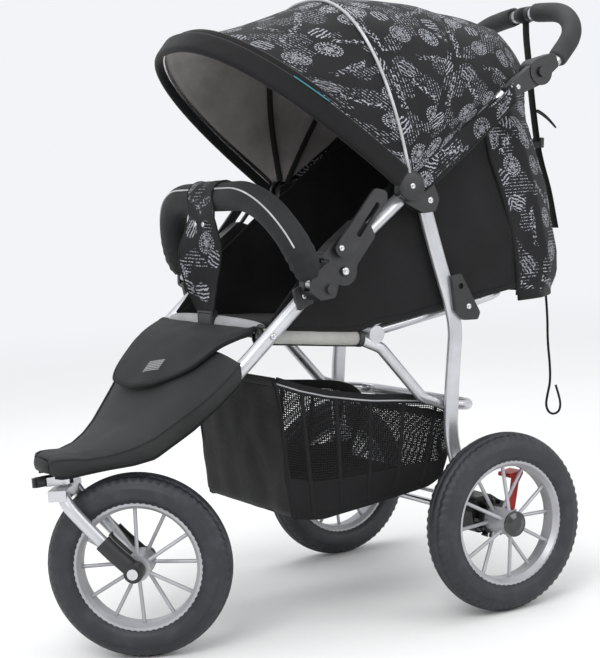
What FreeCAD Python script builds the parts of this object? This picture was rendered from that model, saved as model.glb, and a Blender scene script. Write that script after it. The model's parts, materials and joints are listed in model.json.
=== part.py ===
import FreeCAD, Part
import math
import os

# A three-wheel jogging stroller. Millimetres, +Z up, the ground at z = 0, the front towards -Y and the
# child's left towards +X. Everything is laid out from the point on the ground under the middle of the
# rear axle, and export() then moves it to the middle of the stroller's own box.

AXLE_BEHIND_MIDDLE = 175.2

# Wheels: all three are the 12 1/2 x 2 1/4 size.
WHEEL_R = 155.0
TYRE_HALF_WIDTH = 28.0
BEAD_R = 109.3
RIM_HALF_WIDTH = 20.0
RIM_INNER_R = 97.0
SPOKES = 12
SPOKE_R = 3.2
HUB_R = 22.0
HUB_HALF_LENGTH = 28.0
REAR_WHEEL_X = 276.5
RUN = 0.05                       # radial running clearance of a pin in its hole

# Front fork: it trails behind a vertical steering axis and stands swivelled to one side.
STEER_Y = -687.0
TRAIL = 115.0
SWIVEL_DEG = 35.5
FORK_ARM_X = 45.0
FORK_R = 11.0
CROWN_Z = (278.0, 296.0)
HEAD_Z = (299.0, 337.0)
SPINDLE_R = 9.0
HEAD_R = 16.0
FRONT_AXLE_R = 5.0
LOCK_Z = 307.0

# Frame tubes.
FRAME_X = 195.0
FRAME_R = 12.5
WALL = 1.5
LOWER_START = (-300.0, 589.0)    # y, z of the upper end of the lower tube
UPPER_START = (-226.0, 645.0)
UPPER_END = (150.0, 908.0)
FOLD = (-253.0, 612.0)           # y, z of the frame's fold axis
FOLD_PIN_R = 5.0
LEG_TOP = (-67.0, 715.0)         # y, z of the rear leg's upper pivot
LEG_X = 190.0
LEG_THICK = 14.0
LEG_WIDE = 28.0
CANOPY_PIVOT = (-112.0, 742.0)
HANDLE_PIVOT = (190.0, 924.0)
SEAT_PIVOT = (-388.0, 518.5)
SEAT_X = 171.0
SEAT_R = 10.0
BACK_PIVOT = (-172.0, 495.0)
BACK_X = 150.0
BACK_R = 9.0
PIVOT_R = 4.0
AXLE_Z = WHEEL_R
REAR_AXLE_R = 6.0
BRAKE_ROD = (46.0, 160.0)
BRAKE_ROD_R = 4.0
BRAKE_RING_X = (236.5, 248.5)
BRAKE_RING_R = 34.0
BRAKE_NOTCHES = 12
BRAKE_NOTCH_HALF = 5.6
BRAKE_PHASE = 11.0               # puts a notch where the dog comes down
BRAKE_TRAVEL = 22.0              # degrees from free to locked

# Bumper bar.
BUMPER_X = 233.0
BUMPER_BASE = (-322.0, 598.0)
BUMPER_TOP = (-371.0, 747.0)
BUMPER_BUTTON = (-300.0, 588.0)
BUMPER_FOAM_R = 25.0
BUMPER_BEND = 138.0
BUMPER_TUBE_R = 8.0

# Canopy bows: angle above the forward level, reach and half width.
BOW_R = 3.5
BOW_FRONT = (41.0, 404.0, 224.0)
BOW_MIDDLE = (82.0, 330.0, 220.0)
BOW_REAR = (120.0, 356.0, 216.0)
BOW_ROUNDNESS = 2.4
CLOTH = 2.4
CLOTH_SAG = 2.0

# Pull strap.
STRAP_R = 2.5


def v(x, y, z):
    return FreeCAD.Vector(x, y, z)


def rounded_wire(points, bend=None, closed=False):
    """Straight runs joined by tangent arcs, as large as the runs allow or of radius bend."""
    points = [FreeCAD.Vector(p) for p in points]
    if closed:
        middle = (points[0] + points[-1]) * 0.5
        points = [middle] + points + [middle]
    edges = []
    here = points[0]
    for before, corner, after in zip(points, points[1:], points[2:]):
        into = (corner - before).normalize()
        out = (after - corner).normalize()
        turn = into.getAngle(out)
        if turn < 1e-4:
            continue
        short = min((corner - before).Length, (after - corner).Length)
        cut = 0.45 * short
        if bend:
            cut = min(bend * math.tan(turn / 2), 0.97 * short)
        radius = cut / math.tan(turn / 2)
        start = corner - into * cut
        end = corner + out * cut
        inward = (out - into).normalize()
        centre = corner + inward * (radius / math.cos(turn / 2))
        if (start - here).Length > 1e-4:
            edges.append(Part.LineSegment(here, start).toShape())
        edges.append(Part.Arc(start, centre - inward * radius, end).toShape())
        here = end
    if (points[-1] - here).Length > 1e-4:
        edges.append(Part.LineSegment(here, points[-1]).toShape())
    return Part.Wire(edges)


def rod(points, radius, bend=None):
    """A round bar along a bent path."""
    path = rounded_wire(points, bend)
    section = Part.Wire([Part.makeCircle(radius, points[0], points[1] - points[0])])
    return path.makePipeShell([section], True, False)


def tube(points, radius, wall, bend=None):
    return rod(points, radius, bend).cut(rod(points, radius - wall, bend))


def pin(x0, x1, at, radius):
    """A cylinder along X at (y, z)."""
    return Part.makeCylinder(radius, x1 - x0, v(x0, at[0], at[1]), v(1, 0, 0))


def plate(outline, x0, x1, corner=4.0):
    """A rounded outline of (y, z) points, extruded along X."""
    wire = rounded_wire([v(x0, y, z) for y, z in outline], corner, closed=True)
    return Part.Face(wire).extrude(v(x1 - x0, 0, 0))


def box(low, high):
    return Part.makeBox(high[0] - low[0], high[1] - low[1], high[2] - low[2], v(*low))


def mirrored(shape):
    return shape.mirror(v(0, 0, 0), v(1, 0, 0))


def both(shape):
    return Part.makeCompound([shape, mirrored(shape)])


def placed(shape, angle, at):
    """A part built about the origin, turned about Z and moved into place."""
    moved = shape.copy()
    moved.rotate(v(0, 0, 0), v(0, 0, 1), angle)
    moved.translate(at)
    return moved


def lathe(profile):
    """A closed wire of (x, radius) edges, turned about the X axis."""
    return Part.Face(profile).revolve(v(0, 0, 0), v(1, 0, 0), 360)


def arc(a, b, c):
    return Part.Arc(v(a[0], a[1], 0), v(b[0], b[1], 0), v(c[0], c[1], 0)).toShape()


def line(a, b):
    return Part.LineSegment(v(a[0], a[1], 0), v(b[0], b[1], 0)).toShape()


# ---- Wheels, built about the origin with the axle along X ----

def tyre():
    bead, side, shoulder = BEAD_R + 0.2, 127.0, 147.0
    wall = 4.5
    half = TYRE_HALF_WIDTH
    outer = [
        arc((RIM_HALF_WIDTH, bead), (half, side), (half - 7, shoulder)),
        arc((half - 7, shoulder), (0, WHEEL_R), (7 - half, shoulder)),
        arc((7 - half, shoulder), (-half, side), (-RIM_HALF_WIDTH, bead)),
    ]
    inside = RIM_HALF_WIDTH - wall
    inner = [
        line((-RIM_HALF_WIDTH, bead), (-inside, bead)),
        arc((-inside, bead), (wall - half, side), (wall + 8 - half, shoulder - 3)),
        arc((wall + 8 - half, shoulder - 3), (0, WHEEL_R - wall), (half - wall - 8, shoulder - 3)),
        arc((half - wall - 8, shoulder - 3), (half - wall, side), (inside, bead)),
        line((inside, bead), (RIM_HALF_WIDTH, bead)),
    ]
    return lathe(Part.Wire(outer + inner))


def rim(bore):
    """A moulded rim: the channel, the hub and two fans of spokes, one to each end of the hub."""
    corners = [
        (-RIM_HALF_WIDTH, BEAD_R), (RIM_HALF_WIDTH, BEAD_R), (RIM_HALF_WIDTH, 103.0),
        (12.0, RIM_INNER_R), (-12.0, RIM_INNER_R), (-RIM_HALF_WIDTH, 103.0),
    ]
    shape = lathe(Part.makePolygon([v(a, r, 0) for a, r in corners + corners[:1]]))
    hub = pin(-HUB_HALF_LENGTH, HUB_HALF_LENGTH, (0, 0), HUB_R)
    spokes = []
    for i in range(SPOKES):
        angle = 2 * math.pi * i / SPOKES
        side = 16.0 if i % 2 else -16.0
        foot = v(side, (HUB_R - 4) * math.cos(angle), (HUB_R - 4) * math.sin(angle))
        head = v(side / 4, (RIM_INNER_R + 3) * math.cos(angle), (RIM_INNER_R + 3) * math.sin(angle))
        spokes.append(Part.makeCylinder(SPOKE_R, (head - foot).Length, foot, head - foot))
    shape = shape.fuse([hub] + spokes)
    return shape.cut(pin(-HUB_HALF_LENGTH - 1, HUB_HALF_LENGTH + 1, (0, 0), bore))


def bearing(x0, x1, outer, inner):
    return pin(x0, x1, (0, 0), outer).cut(pin(x0 - 1, x1 + 1, (0, 0), inner))


def front_bearings():
    ring = bearing(HUB_HALF_LENGTH - 10, HUB_HALF_LENGTH, 12.0, FRONT_AXLE_R + RUN)
    return both(ring)


def brake_ring():
    """The toothed ring on the inner end of a rear hub: a disc with notches around its edge."""
    x0 = BRAKE_RING_X[0] - REAR_WHEEL_X
    x1 = BRAKE_RING_X[1] - REAR_WHEEL_X
    ring = pin(x0, x1, (0, 0), BRAKE_RING_R).cut(pin(x0 - 1, x1 + 1, (0, 0), REAR_AXLE_R + RUN))
    notches = []
    for i in range(BRAKE_NOTCHES):
        notch = box((x0 - 1, -BRAKE_NOTCH_HALF, BRAKE_RING_R - 8.0),
                    (x1 + 1, BRAKE_NOTCH_HALF, BRAKE_RING_R + 2.0))
        notch.rotate(v(0, 0, 0), v(1, 0, 0), 360.0 * i / BRAKE_NOTCHES + BRAKE_PHASE)
        notches.append(notch)
    return ring.cut(notches)


def hub_cap():
    """A glossy domed cap over the outer end of a rear hub."""
    rim_part = pin(HUB_HALF_LENGTH, HUB_HALF_LENGTH + 3.0, (0, 0), HUB_R)
    crown = Part.makeCone(HUB_R - 3.0, 11.0, 3.0, v(HUB_HALF_LENGTH + 3.0, 0, 0), v(1, 0, 0))
    return rim_part.fuse(crown)


# ---- Front fork ----

def fork_parts():
    """Fork, sleeves and axle about the steering axis, trailing towards +Y."""
    arm = [
        v(FORK_ARM_X - 6, 4, 288), v(FORK_ARM_X, 16, 266), v(FORK_ARM_X, 48, 226),
        v(FORK_ARM_X, 80, 190), v(FORK_ARM_X, TRAIL, WHEEL_R),
    ]
    blade = tube(arm, FORK_R, 2.0)
    crown = box((-FORK_ARM_X - 9, -15, CROWN_Z[0]), (FORK_ARM_X + 9, 15, CROWN_Z[1]))
    spindle = Part.makeCylinder(SPINDLE_R, HEAD_Z[1] + 1 - CROWN_Z[1], v(0, 0, CROWN_Z[1] - 0.5))
    lock_hole = Part.makeCylinder(PIVOT_R + 0.3, 8, v(0, -SPINDLE_R - 1, LOCK_Z), v(0, 1, 0))
    sleeve_path = [v(FORK_ARM_X, 66, 206), v(FORK_ARM_X, 80, 190), v(FORK_ARM_X, TRAIL - 1, WHEEL_R + 1)]
    sleeve = rod(sleeve_path, FORK_R + 3.5)
    eye = pin(FORK_ARM_X - 9.5, FORK_ARM_X + 15, (TRAIL, WHEEL_R), 16.0)
    axle_hole = pin(-90, 90, (TRAIL, WHEEL_R), FRONT_AXLE_R)
    sleeve = sleeve.fuse(eye)
    wheel_space = box((-HUB_HALF_LENGTH - 3, TRAIL - 50, WHEEL_R - 60), (FORK_ARM_X - 10, TRAIL + 50, 280))
    sleeve = sleeve.cut([rod(arm, FORK_R), axle_hole, wheel_space])
    blade = blade.cut(pin(0, 90, (TRAIL, WHEEL_R), 17.0))
    fork = crown.fuse([blade, mirrored(blade), spindle]).cut(lock_hole)
    bolt = pin(-FORK_ARM_X - 15, FORK_ARM_X + 15, (TRAIL, WHEEL_R), FRONT_AXLE_R)
    heads = [pin(FORK_ARM_X + 15, FORK_ARM_X + 21, (TRAIL, WHEEL_R), 9.0)]
    heads.append(mirrored(heads[0]))
    return fork, both(sleeve), bolt.fuse(heads)


# ---- Lower frame ----

def lower_tube():
    path = [
        v(FRAME_X, *LOWER_START), v(FRAME_X, -449, 468), v(162, -498, 415), v(129, -545, 375),
        v(91, -590, 344), v(50, -643, 329), v(10, -686, 326),
    ]
    shape = tube(path, FRAME_R, WALL)
    head = Part.makeCylinder(HEAD_R, 60, v(0, STEER_Y, HEAD_Z[0] - 10))
    seat_hole = pin(FRAME_X - 20, FRAME_X + 20, SEAT_PIVOT, PIVOT_R + RUN)
    shape = shape.cut([head, seat_hole, box((-60, -760, 250), (0, -600, 400))])
    return max(shape.Solids, key=lambda s: s.Volume)


def steering_head():
    """The tube round the fork's spindle, with the bracket that carries the lock knob."""
    head = Part.makeCylinder(HEAD_R, HEAD_Z[1] - HEAD_Z[0], v(0, STEER_Y, HEAD_Z[0]))
    bracket = box((-13, STEER_Y - 35, LOCK_Z - 8), (13, STEER_Y, LOCK_Z + 7))
    bore = Part.makeCylinder(SPINDLE_R + RUN, 80, v(0, STEER_Y, HEAD_Z[0] - 20))
    lock_bore = Part.makeCylinder(PIVOT_R + RUN, 60, v(0, STEER_Y - 50, LOCK_Z), v(0, 1, 0))
    return head.fuse(bracket).cut([bore, lock_bore])


def swivel_lock_knob():
    tip = STEER_Y - SPINDLE_R - 0.3
    face = STEER_Y - 35.0
    shaft = Part.makeCylinder(PIVOT_R, tip - face + 4, v(0, face - 4, LOCK_Z), v(0, 1, 0))
    knob = Part.makeCylinder(9.0, 14.0, v(0, face - 14.5, LOCK_Z), v(0, 1, 0))
    wing = box((-3, face - 20, LOCK_Z - 8), (3, face - 14, LOCK_Z + 8))
    return knob.fuse([shaft, wing])


def fold_socket():
    """The lower half of a fold joint: an eye, a neck and a plug in the lower tube's end."""
    eye = pin(FRAME_X - 12, FRAME_X, FOLD, 22.0)
    neck = plate([(-262, 634), (-241, 598), (-286, 580), (-304, 606)], FRAME_X - 12, FRAME_X)
    start = v(FRAME_X, *LOWER_START)
    along = (v(FRAME_X, -449, 468) - start).normalize()
    plug = Part.makeCylinder(FRAME_R - WALL, 50, start - along * 22, along)
    tube_space = Part.makeCylinder(FRAME_R, 80, start, along)
    tube_core = Part.makeCylinder(FRAME_R - WALL, 90, start - along * 5, along)
    neck = neck.fuse(eye).cut(tube_space.cut(tube_core))
    clear = pin(FRAME_X, FRAME_X + 30, FOLD, 25.0)
    axle = pin(FRAME_X - 12, FRAME_X + 28, FOLD, FOLD_PIN_R)
    head = pin(FRAME_X + 27.5, FRAME_X + 31, FOLD, 8.0)
    return neck.fuse(plug.cut(clear)).fuse([axle, head])


def bumper_clamp():
    """The plastic housing on the outside of the lower tube that holds one end of the bumper bar."""
    outline = [(-332, 611), (-300, 632), (-284, 620), (-283, 594), (-290, 573), (-318, 571), (-334, 584)]
    body = plate(outline, FRAME_X + 13, 250.0, 8.0)
    strap = plate([(-345, 590), (-315, 601), (-309, 566), (-339, 554)], FRAME_X + 8, FRAME_X + 17, 4.0)
    start = v(FRAME_X, *LOWER_START)
    along = (v(FRAME_X, -449, 468) - start).normalize()
    tube_space = Part.makeCylinder(FRAME_R, 110, start - along * 30, along)
    y, z = BUMPER_BASE
    reach = BUMPER_TUBE_R + 3
    slot = plate([(y + reach, z - reach), (y + reach, z + 60), (y - 80, z + 60),
                  (y - 80, z - reach)], BUMPER_X - 8.6, BUMPER_X + 8.6, 5.0)
    button = pin(BUMPER_X + 8, 260, BUMPER_BUTTON, 8.1)
    fold_space = pin(FRAME_X, 260, FOLD, 26.0)
    hinge = pin(BUMPER_X - 10, BUMPER_X + 12, BUMPER_BASE, PIVOT_R)
    return body.fuse(strap).cut([tube_space, slot, button, fold_space]).fuse(hinge)


def bumper_tube():
    """The steel bar inside the foam, with an eye at each end for the clamps' hinge pins."""
    eye = pin(BUMPER_X - BUMPER_TUBE_R, BUMPER_X + BUMPER_TUBE_R, BUMPER_BASE, BUMPER_TUBE_R + 2)
    hole = pin(BUMPER_X - 20, BUMPER_X + 20, BUMPER_BASE, PIVOT_R + RUN)
    bar = rod(bumper_path(), BUMPER_TUBE_R, BUMPER_BEND).fuse([eye, mirrored(eye)])
    return bar.cut([hole, mirrored(hole)])


def bumper_button():
    return pin(BUMPER_X + 13, BUMPER_X + 23, BUMPER_BUTTON, 8.0)


def bumper_path():
    return [
        v(BUMPER_X, *BUMPER_BASE), v(BUMPER_X, *BUMPER_TOP),
        v(-BUMPER_X, *BUMPER_TOP), v(-BUMPER_X, *BUMPER_BASE),
    ]


def bumper_foam():
    path = bumper_path()
    rise = (path[1] - path[0]).normalize()
    path[0] = path[0] + rise * 34
    path[3] = path[3] + rise * 34
    return rod(path, BUMPER_FOAM_R, BUMPER_BEND).cut(rod(bumper_path(), BUMPER_TUBE_R, BUMPER_BEND))


def crotch_strap():
    """The wide strap that loops round the bumper bar and runs down to the front of the seat."""
    ring = pin(-30.5, 30.5, BUMPER_TOP, BUMPER_FOAM_R + 3.3)
    ring = ring.cut(pin(-31, 31, BUMPER_TOP, BUMPER_FOAM_R + 0.3))
    y, z = BUMPER_TOP
    strip = plate([(y - 28.3, z + 4), (y - 25.4, z + 4), (-398, 534), (-401, 534)], -30.5, 30.5, 1.0)
    strip = strip.cut(pin(-31, 31, BUMPER_TOP, BUMPER_FOAM_R + 0.3))
    return ring.fuse(strip)


def arch_band(stations):
    """Inverted U sections of cloth lofted through (half width, y, top z, low z) stations."""
    thick = 4.0
    wires = []
    for half, y, top, low in stations:
        shoulder = 12.0
        outer = [
            v(-half, y, low), v(-half, y, top - shoulder), v(shoulder - half, y, top),
            v(half - shoulder, y, top), v(half, y, top - shoulder), v(half, y, low),
        ]
        inside = half - thick
        inner = [
            v(inside, y, low), v(inside, y, top - shoulder - 1), v(inside - shoulder + 2, y, top - thick),
            v(shoulder - 2 - inside, y, top - thick), v(-inside, y, top - shoulder - 1), v(-inside, y, low),
        ]
        corners = outer + inner
        wires.append(Part.makePolygon(corners + corners[:1]))
    return Part.makeLoft(wires, True, True)


def footrest_cover():
    """The fabric boot stretched over the front tubes, open underneath."""
    stations = [
        (46, -709, 341, 315), (62, -668, 348, 315), (86, -630, 358, 316), (120, -588, 382, 322),
        (155, -540, 420, 345), (184, -498, 458, 383), (212, -452, 500, 428),
    ]
    boot = arch_band(stations)
    nose = box((-46, -712, 315), (46, -709, 340))
    apron = plate([(-452, 500), (-404, 519), (-404, 513), (-452, 492)], -178, 178, 1.0)
    return boot.fuse([nose, apron])


# ---- Upper frame ----

def upper_tube():
    path = [v(FRAME_X, *UPPER_START), v(FRAME_X, *UPPER_END)]
    return tube(path, FRAME_R, WALL)


def upper_solid():
    return rod([v(FRAME_X, *UPPER_START), v(FRAME_X, *UPPER_END)], FRAME_R)


def fold_cover():
    """The upper half of a fold joint, wrapped over the start of the upper tube."""
    outline = [
        (-296, 640), (-272, 660), (-222, 694), (-196, 684), (-188, 664), (-226, 622), (-240, 592),
    ]
    body = plate(outline, FRAME_X + 0.5, FRAME_X + 27, 8.0)
    lobe = pin(FRAME_X + 0.5, FRAME_X + 27, FOLD, 24.0)
    bore = pin(FRAME_X, FRAME_X + 40, FOLD, FOLD_PIN_R + RUN)
    start = v(FRAME_X, *LOWER_START)
    along = (v(FRAME_X, -449, 468) - start).normalize()
    plug_space = Part.makeCylinder(FRAME_R + 1, 60, start - along * 24, along)
    clamp_space = plate([(-340, 640), (-281, 634), (-281, 560), (-340, 560)], FRAME_X, 260, 2.0)
    return body.fuse(lobe).cut([bore, upper_solid(), plug_space, clamp_space])


def fold_latch():
    """The looped lever that lies along the upper tube and releases the fold joint when pulled."""
    outer = plate([(-276, 648), (-258, 669), (-189, 744), (-166, 738), (-166, 722), (-240, 641), (-262, 634)],
                  FRAME_X + 31.5, FRAME_X + 37.5, 9.0)
    inner = plate([(-233, 671), (-187, 722), (-180, 716), (-225, 665)], FRAME_X + 30, FRAME_X + 40, 3.0)
    return outer.cut([inner, pin(FRAME_X + 30, FRAME_X + 40, (-262, 651), PIVOT_R + RUN)])


def latch_pin():
    return pin(FRAME_X + 25, FRAME_X + 38.5, (-262, 651), PIVOT_R)


def canopy_bracket():
    """The plate on the upper tube that carries the rear leg's pivot and the canopy's pivot."""
    outline = [
        (-130, 728), (-126, 752), (-100, 760), (-62, 754), (-48, 716), (-58, 695), (-82, 694), (-118, 714),
    ]
    body = plate(outline, FRAME_X + 3, FRAME_X + 19, 9.0).cut(upper_solid())
    body = max(body.Solids, key=lambda s: s.Volume)
    leg_pin = pin(LEG_X - 9, FRAME_X + 4, LEG_TOP, PIVOT_R)
    canopy_pin = pin(FRAME_X + 18, FRAME_X + 32, CANOPY_PIVOT, PIVOT_R)
    cap = pin(FRAME_X + 32, FRAME_X + 34, CANOPY_PIVOT, 7.0)
    return body.fuse([leg_pin, canopy_pin, cap])


def handle_housing():
    """The fixed half of a handle joint, clamped on the upper tube's end."""
    disc = pin(FRAME_X + 2, FRAME_X + 18, HANDLE_PIVOT, 24.0)
    arm = plate([(106, 896), (122, 880), (186, 900), (186, 946)], FRAME_X + 2, FRAME_X + 16, 7.0)
    button = pin(FRAME_X + 7, FRAME_X + 30, HANDLE_PIVOT, 9.1)
    boss = pin(FRAME_X - 16, FRAME_X + 7, HANDLE_PIVOT, 7.0)
    return disc.fuse(arm).cut([button, upper_solid()]).fuse(boss)


def handle_button():
    return pin(FRAME_X + 12, FRAME_X + 24, HANDLE_PIVOT, 9.0)


def handle_path():
    half = [
        v(182, 199, 919), v(182, 252, 946), v(175, 292, 985), v(152, 313, 1015),
        v(106, 328, 1037), v(40, 333, 1046),
    ]
    return half + [v(-p.x, p.y, p.z) for p in reversed(half)]


def handle_knuckle():
    """The moving half of a handle joint, with the arm that grips the handle tube."""
    y, z = HANDLE_PIVOT
    disc = pin(FRAME_X - 16, FRAME_X + 1.5, HANDLE_PIVOT, 24.0)
    arm = plate([(y - 6, z + 22), (y + 48, z + 34), (y + 56, z + 10), (y + 10, z - 22)], 169, 195, 6.0)
    bore = pin(100, 300, HANDLE_PIVOT, 7.0 + RUN)
    return disc.fuse(arm).cut([bore, rod(handle_path(), FRAME_R)])


def handle_tube():
    shape = tube(handle_path(), FRAME_R, WALL)
    for side in (1, -1):
        shape = shape.cut(Part.makeCylinder(25.0, 60, v(side * 182 - 30, *HANDLE_PIVOT), v(1, 0, 0)))
    return max(shape.Solids, key=lambda s: s.Volume)


def handle_foam():
    """Two foam grips, one on each bend, that leave the middle of the bar bare."""
    path = [v(182, 249, 944.5)] + handle_path()[2:6] + [v(32, 333, 1046.6)]
    grip = rod(path, 18.0)
    bar = rod(handle_path(), FRAME_R)
    return both(grip.cut([bar, box((-10, 200, 900), (30, 400, 1100)), housing_clear()]))


def housing_clear():
    y, z = HANDLE_PIVOT
    return plate([(y - 10, z + 26), (y + 50, z + 38), (y + 60, z + 8), (y + 10, z - 26)], 160, 215, 6.0)


# ---- Canopy ----

def on_bow(angle, base, x, out):
    a = math.radians(angle)
    return v(x, base[0] - out * math.cos(a), base[1] + out * math.sin(a))


def arch(angle, reach, half, roundness, count, base=CANOPY_PIVOT, foot=0.0):
    """Points over a rounded arch from the left side to the right, starting foot above its base."""
    start = math.asin((foot / reach) ** (roundness / 2)) if foot else 0.0
    points = []
    for i in range(count):
        t = start + (math.pi - 2 * start) * i / (count - 1)
        c, s = math.cos(t), math.sin(t)
        x = half * math.copysign(abs(c) ** (2 / roundness), c)
        points.append(on_bow(angle, base, x, reach * s ** (2 / roundness)))
    return points


def bow(angle, reach, half):
    """A canopy bow: a bent rod between two eyes on the canopy pivots."""
    points = arch(angle, reach, half, BOW_ROUNDNESS, 15)
    points[0] = on_bow(angle, CANOPY_PIVOT, half, 8.0)
    points[-1] = on_bow(angle, CANOPY_PIVOT, -half, 8.0)
    eye = pin(half - 1.7, half + 1.7, CANOPY_PIVOT, 9.5)
    hole = pin(half - 5, half + 5, CANOPY_PIVOT, PIVOT_R + RUN)
    flat = box((-300, -900, 0), (300, 900, 2000)).cut(box((1.7 - half, -901, -1), (half - 1.7, 901, 2001)))
    flat = flat.cut([box((half + 1.7, -901, -1), (301, 901, 2001)), box((-301, -901, -1), (-half - 1.7, 901, 2001))])
    near = pin(-300, 300, CANOPY_PIVOT, 30.0)
    bar = rod(points, BOW_R).cut(near.cut(flat))
    return bar.fuse([eye, mirrored(eye)]).cut([hole, mirrored(hole)])


def gore(sections):
    """A panel of cloth lofted through arches: (angle, reach, half width, roundness, base)."""
    wires = []
    for angle, reach, half, roundness, base in sections:
        gap = BOW_R + 0.4
        outer = arch(angle, reach + gap + CLOTH, half + gap + CLOTH, roundness, 17, base, 22.0)
        inner = arch(angle, reach + gap, half + gap, roundness, 17, base, 22.0)
        over = Part.BSplineCurve()
        over.interpolate(outer)
        under = Part.BSplineCurve()
        under.interpolate(inner[::-1])
        wires.append(Part.Wire([
            over.toShape(), Part.LineSegment(outer[-1], inner[-1]).toShape(),
            under.toShape(), Part.LineSegment(inner[0], outer[0]).toShape(),
        ]))
    return Part.makeLoft(wires, True, False)


def between(low, high, share):
    return tuple(a + (b - a) * share for a, b in zip(low, high))


def gore_sections(front, rear):
    """An arch on each bow and one halfway, where the tight cloth follows the straight chord."""
    gap = 0.4
    chord = math.cos(math.radians(rear[0] - front[0]) / 2)
    sections = []
    for share in (0.0, 0.5, 1.0):
        angle, reach, half = between(front, rear, share)
        angle += gap * (1 - 2 * share)
        if share == 0.5:
            reach = reach * chord - CLOTH_SAG
        sections.append((angle, reach, half, BOW_ROUNDNESS, CANOPY_PIVOT))
    return sections


def tail_sections():
    angle, reach, half = BOW_REAR
    return [
        (angle + 0.4, reach, half, BOW_ROUNDNESS, CANOPY_PIVOT),
        (138.0, 308.0, 211.0, 2.0, (-18.0, 812.0)),
        (158.0, 224.0, 206.0, 1.5, (72.0, 872.0)),
    ]


# ---- Seat ----

def seat_tube():
    path = [
        v(SEAT_X, -396, 518), v(SEAT_X, -205, 492), v(SEAT_X, -160, 470), v(SEAT_X, -82, 374),
        v(SEAT_X, -40, 357), v(SEAT_X, 28, 345), v(-SEAT_X, 28, 345), v(-SEAT_X, -40, 357),
        v(-SEAT_X, -82, 374), v(-SEAT_X, -160, 470), v(-SEAT_X, -205, 492), v(-SEAT_X, -396, 518),
    ]
    shape = tube(path, SEAT_R, WALL, 30.0)
    lug = pin(SEAT_X - SEAT_R, SEAT_X + SEAT_R, BACK_PIVOT, 15.0)
    back_pin = pin(BACK_X - BACK_R - 1, SEAT_X, BACK_PIVOT, PIVOT_R)
    frame_pin = pin(SEAT_X - 5, FRAME_X + 15, SEAT_PIVOT, PIVOT_R)
    extras = [lug, back_pin, frame_pin]
    return shape.fuse(extras + [mirrored(s) for s in extras])


def seat_pad():
    outline = [(-394, 524), (-392, 536), (-372, 541), (-196, 517), (-186, 498), (-200, 492), (-380, 514)]
    return plate(outline, -156, 156, 6.0)


def backrest_tube():
    path = [
        v(BACK_X, BACK_PIVOT[0] - 2, BACK_PIVOT[1]), v(BACK_X, 60, 527), v(BACK_X, 128, 539),
        v(-BACK_X, 128, 539), v(-BACK_X, 60, 527), v(-BACK_X, BACK_PIVOT[0] - 2, BACK_PIVOT[1]),
    ]
    eye = pin(BACK_X - BACK_R, BACK_X + BACK_R, BACK_PIVOT, 11.0)
    hole = pin(BACK_X - 30, SEAT_X + 30, BACK_PIVOT, PIVOT_R + RUN)
    shape = tube(path, BACK_R, WALL, 40.0).fuse([eye, mirrored(eye)])
    return shape.cut([hole, mirrored(hole)])


def backrest_pad():
    outline = [(-150, 516), (-146, 534), (-110, 544), (110, 572), (136, 568), (138, 552), (-120, 517)]
    return plate(outline, -166, 166, 8.0)


def seat_walls():
    """The fabric sides of the seat, hung just inside the frame tubes."""
    outline = [
        (-372, 534), (-300, 590), (-262, 620), (-80, 746), (56, 836), (64, 836), (98, 720),
        (118, 664), (124, 594), (126, 548), (-100, 520), (-176, 516), (-205, 508),
    ]
    return both(plate(outline, 176.6, 179.6, 6.0))


def rear_panel():
    """The printed back of the seat: a sheet that wraps round from side to side behind the backrest."""
    levels = [
        (530, 180, 134, 194, 264), (560, 180, 138, 213, 282), (600, 180, 136, 214, 284),
        (650, 180, 132, 206, 277), (720, 180, 112, 194, 266), (780, 180, 92, 180, 249),
        (834, 179, 84, 164, 234), (862, 162, 112, 158, 232), (904, 156, 150, 172, 236),
    ]
    wires = []
    for z, half, side, corner, back in levels:
        outline = [v(half, side, z), v(half, corner, z), v(110, back, z)]
        outline += [v(-p.x, p.y, z) for p in reversed(outline)]
        inner = [v(half - 3, side, z), v(half - 3, corner - 2, z), v(108.5, back - 3, z)]
        inner += [v(-p.x, p.y, z) for p in reversed(inner)]
        corners = outline + inner[::-1]
        wires.append(Part.makePolygon(corners + corners[:1]))
    return Part.makeLoft(wires, True, True)


def recline_strap():
    """The webbing from the handle's middle down behind the rear panel, with its pointed flap."""
    path = [
        (330, 1026), (334, 970), (338, 884), (346, 787), (366, 708), (378, 632), (375, 632),
        (363, 708), (343, 787), (335, 884), (331, 970), (327, 1026),
    ]
    webbing = plate(path, -9.5, 9.5, 1.0)
    flap = plate([(337, 868), (392, 830), (390, 824), (346, 826), (338, 846)], -8, 8, 2.0)
    return webbing.fuse(flap)


def pull_strap():
    """A free webbing tail that hangs from the lower edge of the rear panel and ends in a loop."""
    points = [
        v(100, 262, 526), v(101, 263, 478), v(99, 261, 428), v(101, 262, 380), v(100, 261, 348),
        v(97, 255, 325), v(94.5, 251.5, 305), v(97, 255, 291), v(102, 263, 286), v(107, 273, 291),
        v(109, 276, 306), v(107, 273, 326), v(104.5, 270, 342),
    ]
    radii = strap_radii(points)
    print("pull strap radii", [round(r, 1) for r in radii])
    shape = rod(points, STRAP_R)
    length = rounded_wire(points).Length
    print("pull strap length", round(length, 1), "volume share",
          round(shape.Volume / (math.pi * STRAP_R ** 2 * length), 4))
    return shape


def strap_radii(points):
    radii = []
    for before, corner, after in zip(points, points[1:], points[2:]):
        turn = (corner - before).getAngle(after - corner)
        short = min((corner - before).Length, (after - corner).Length)
        radii.append(0.45 * short / math.tan(turn / 2))
    return radii


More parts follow.
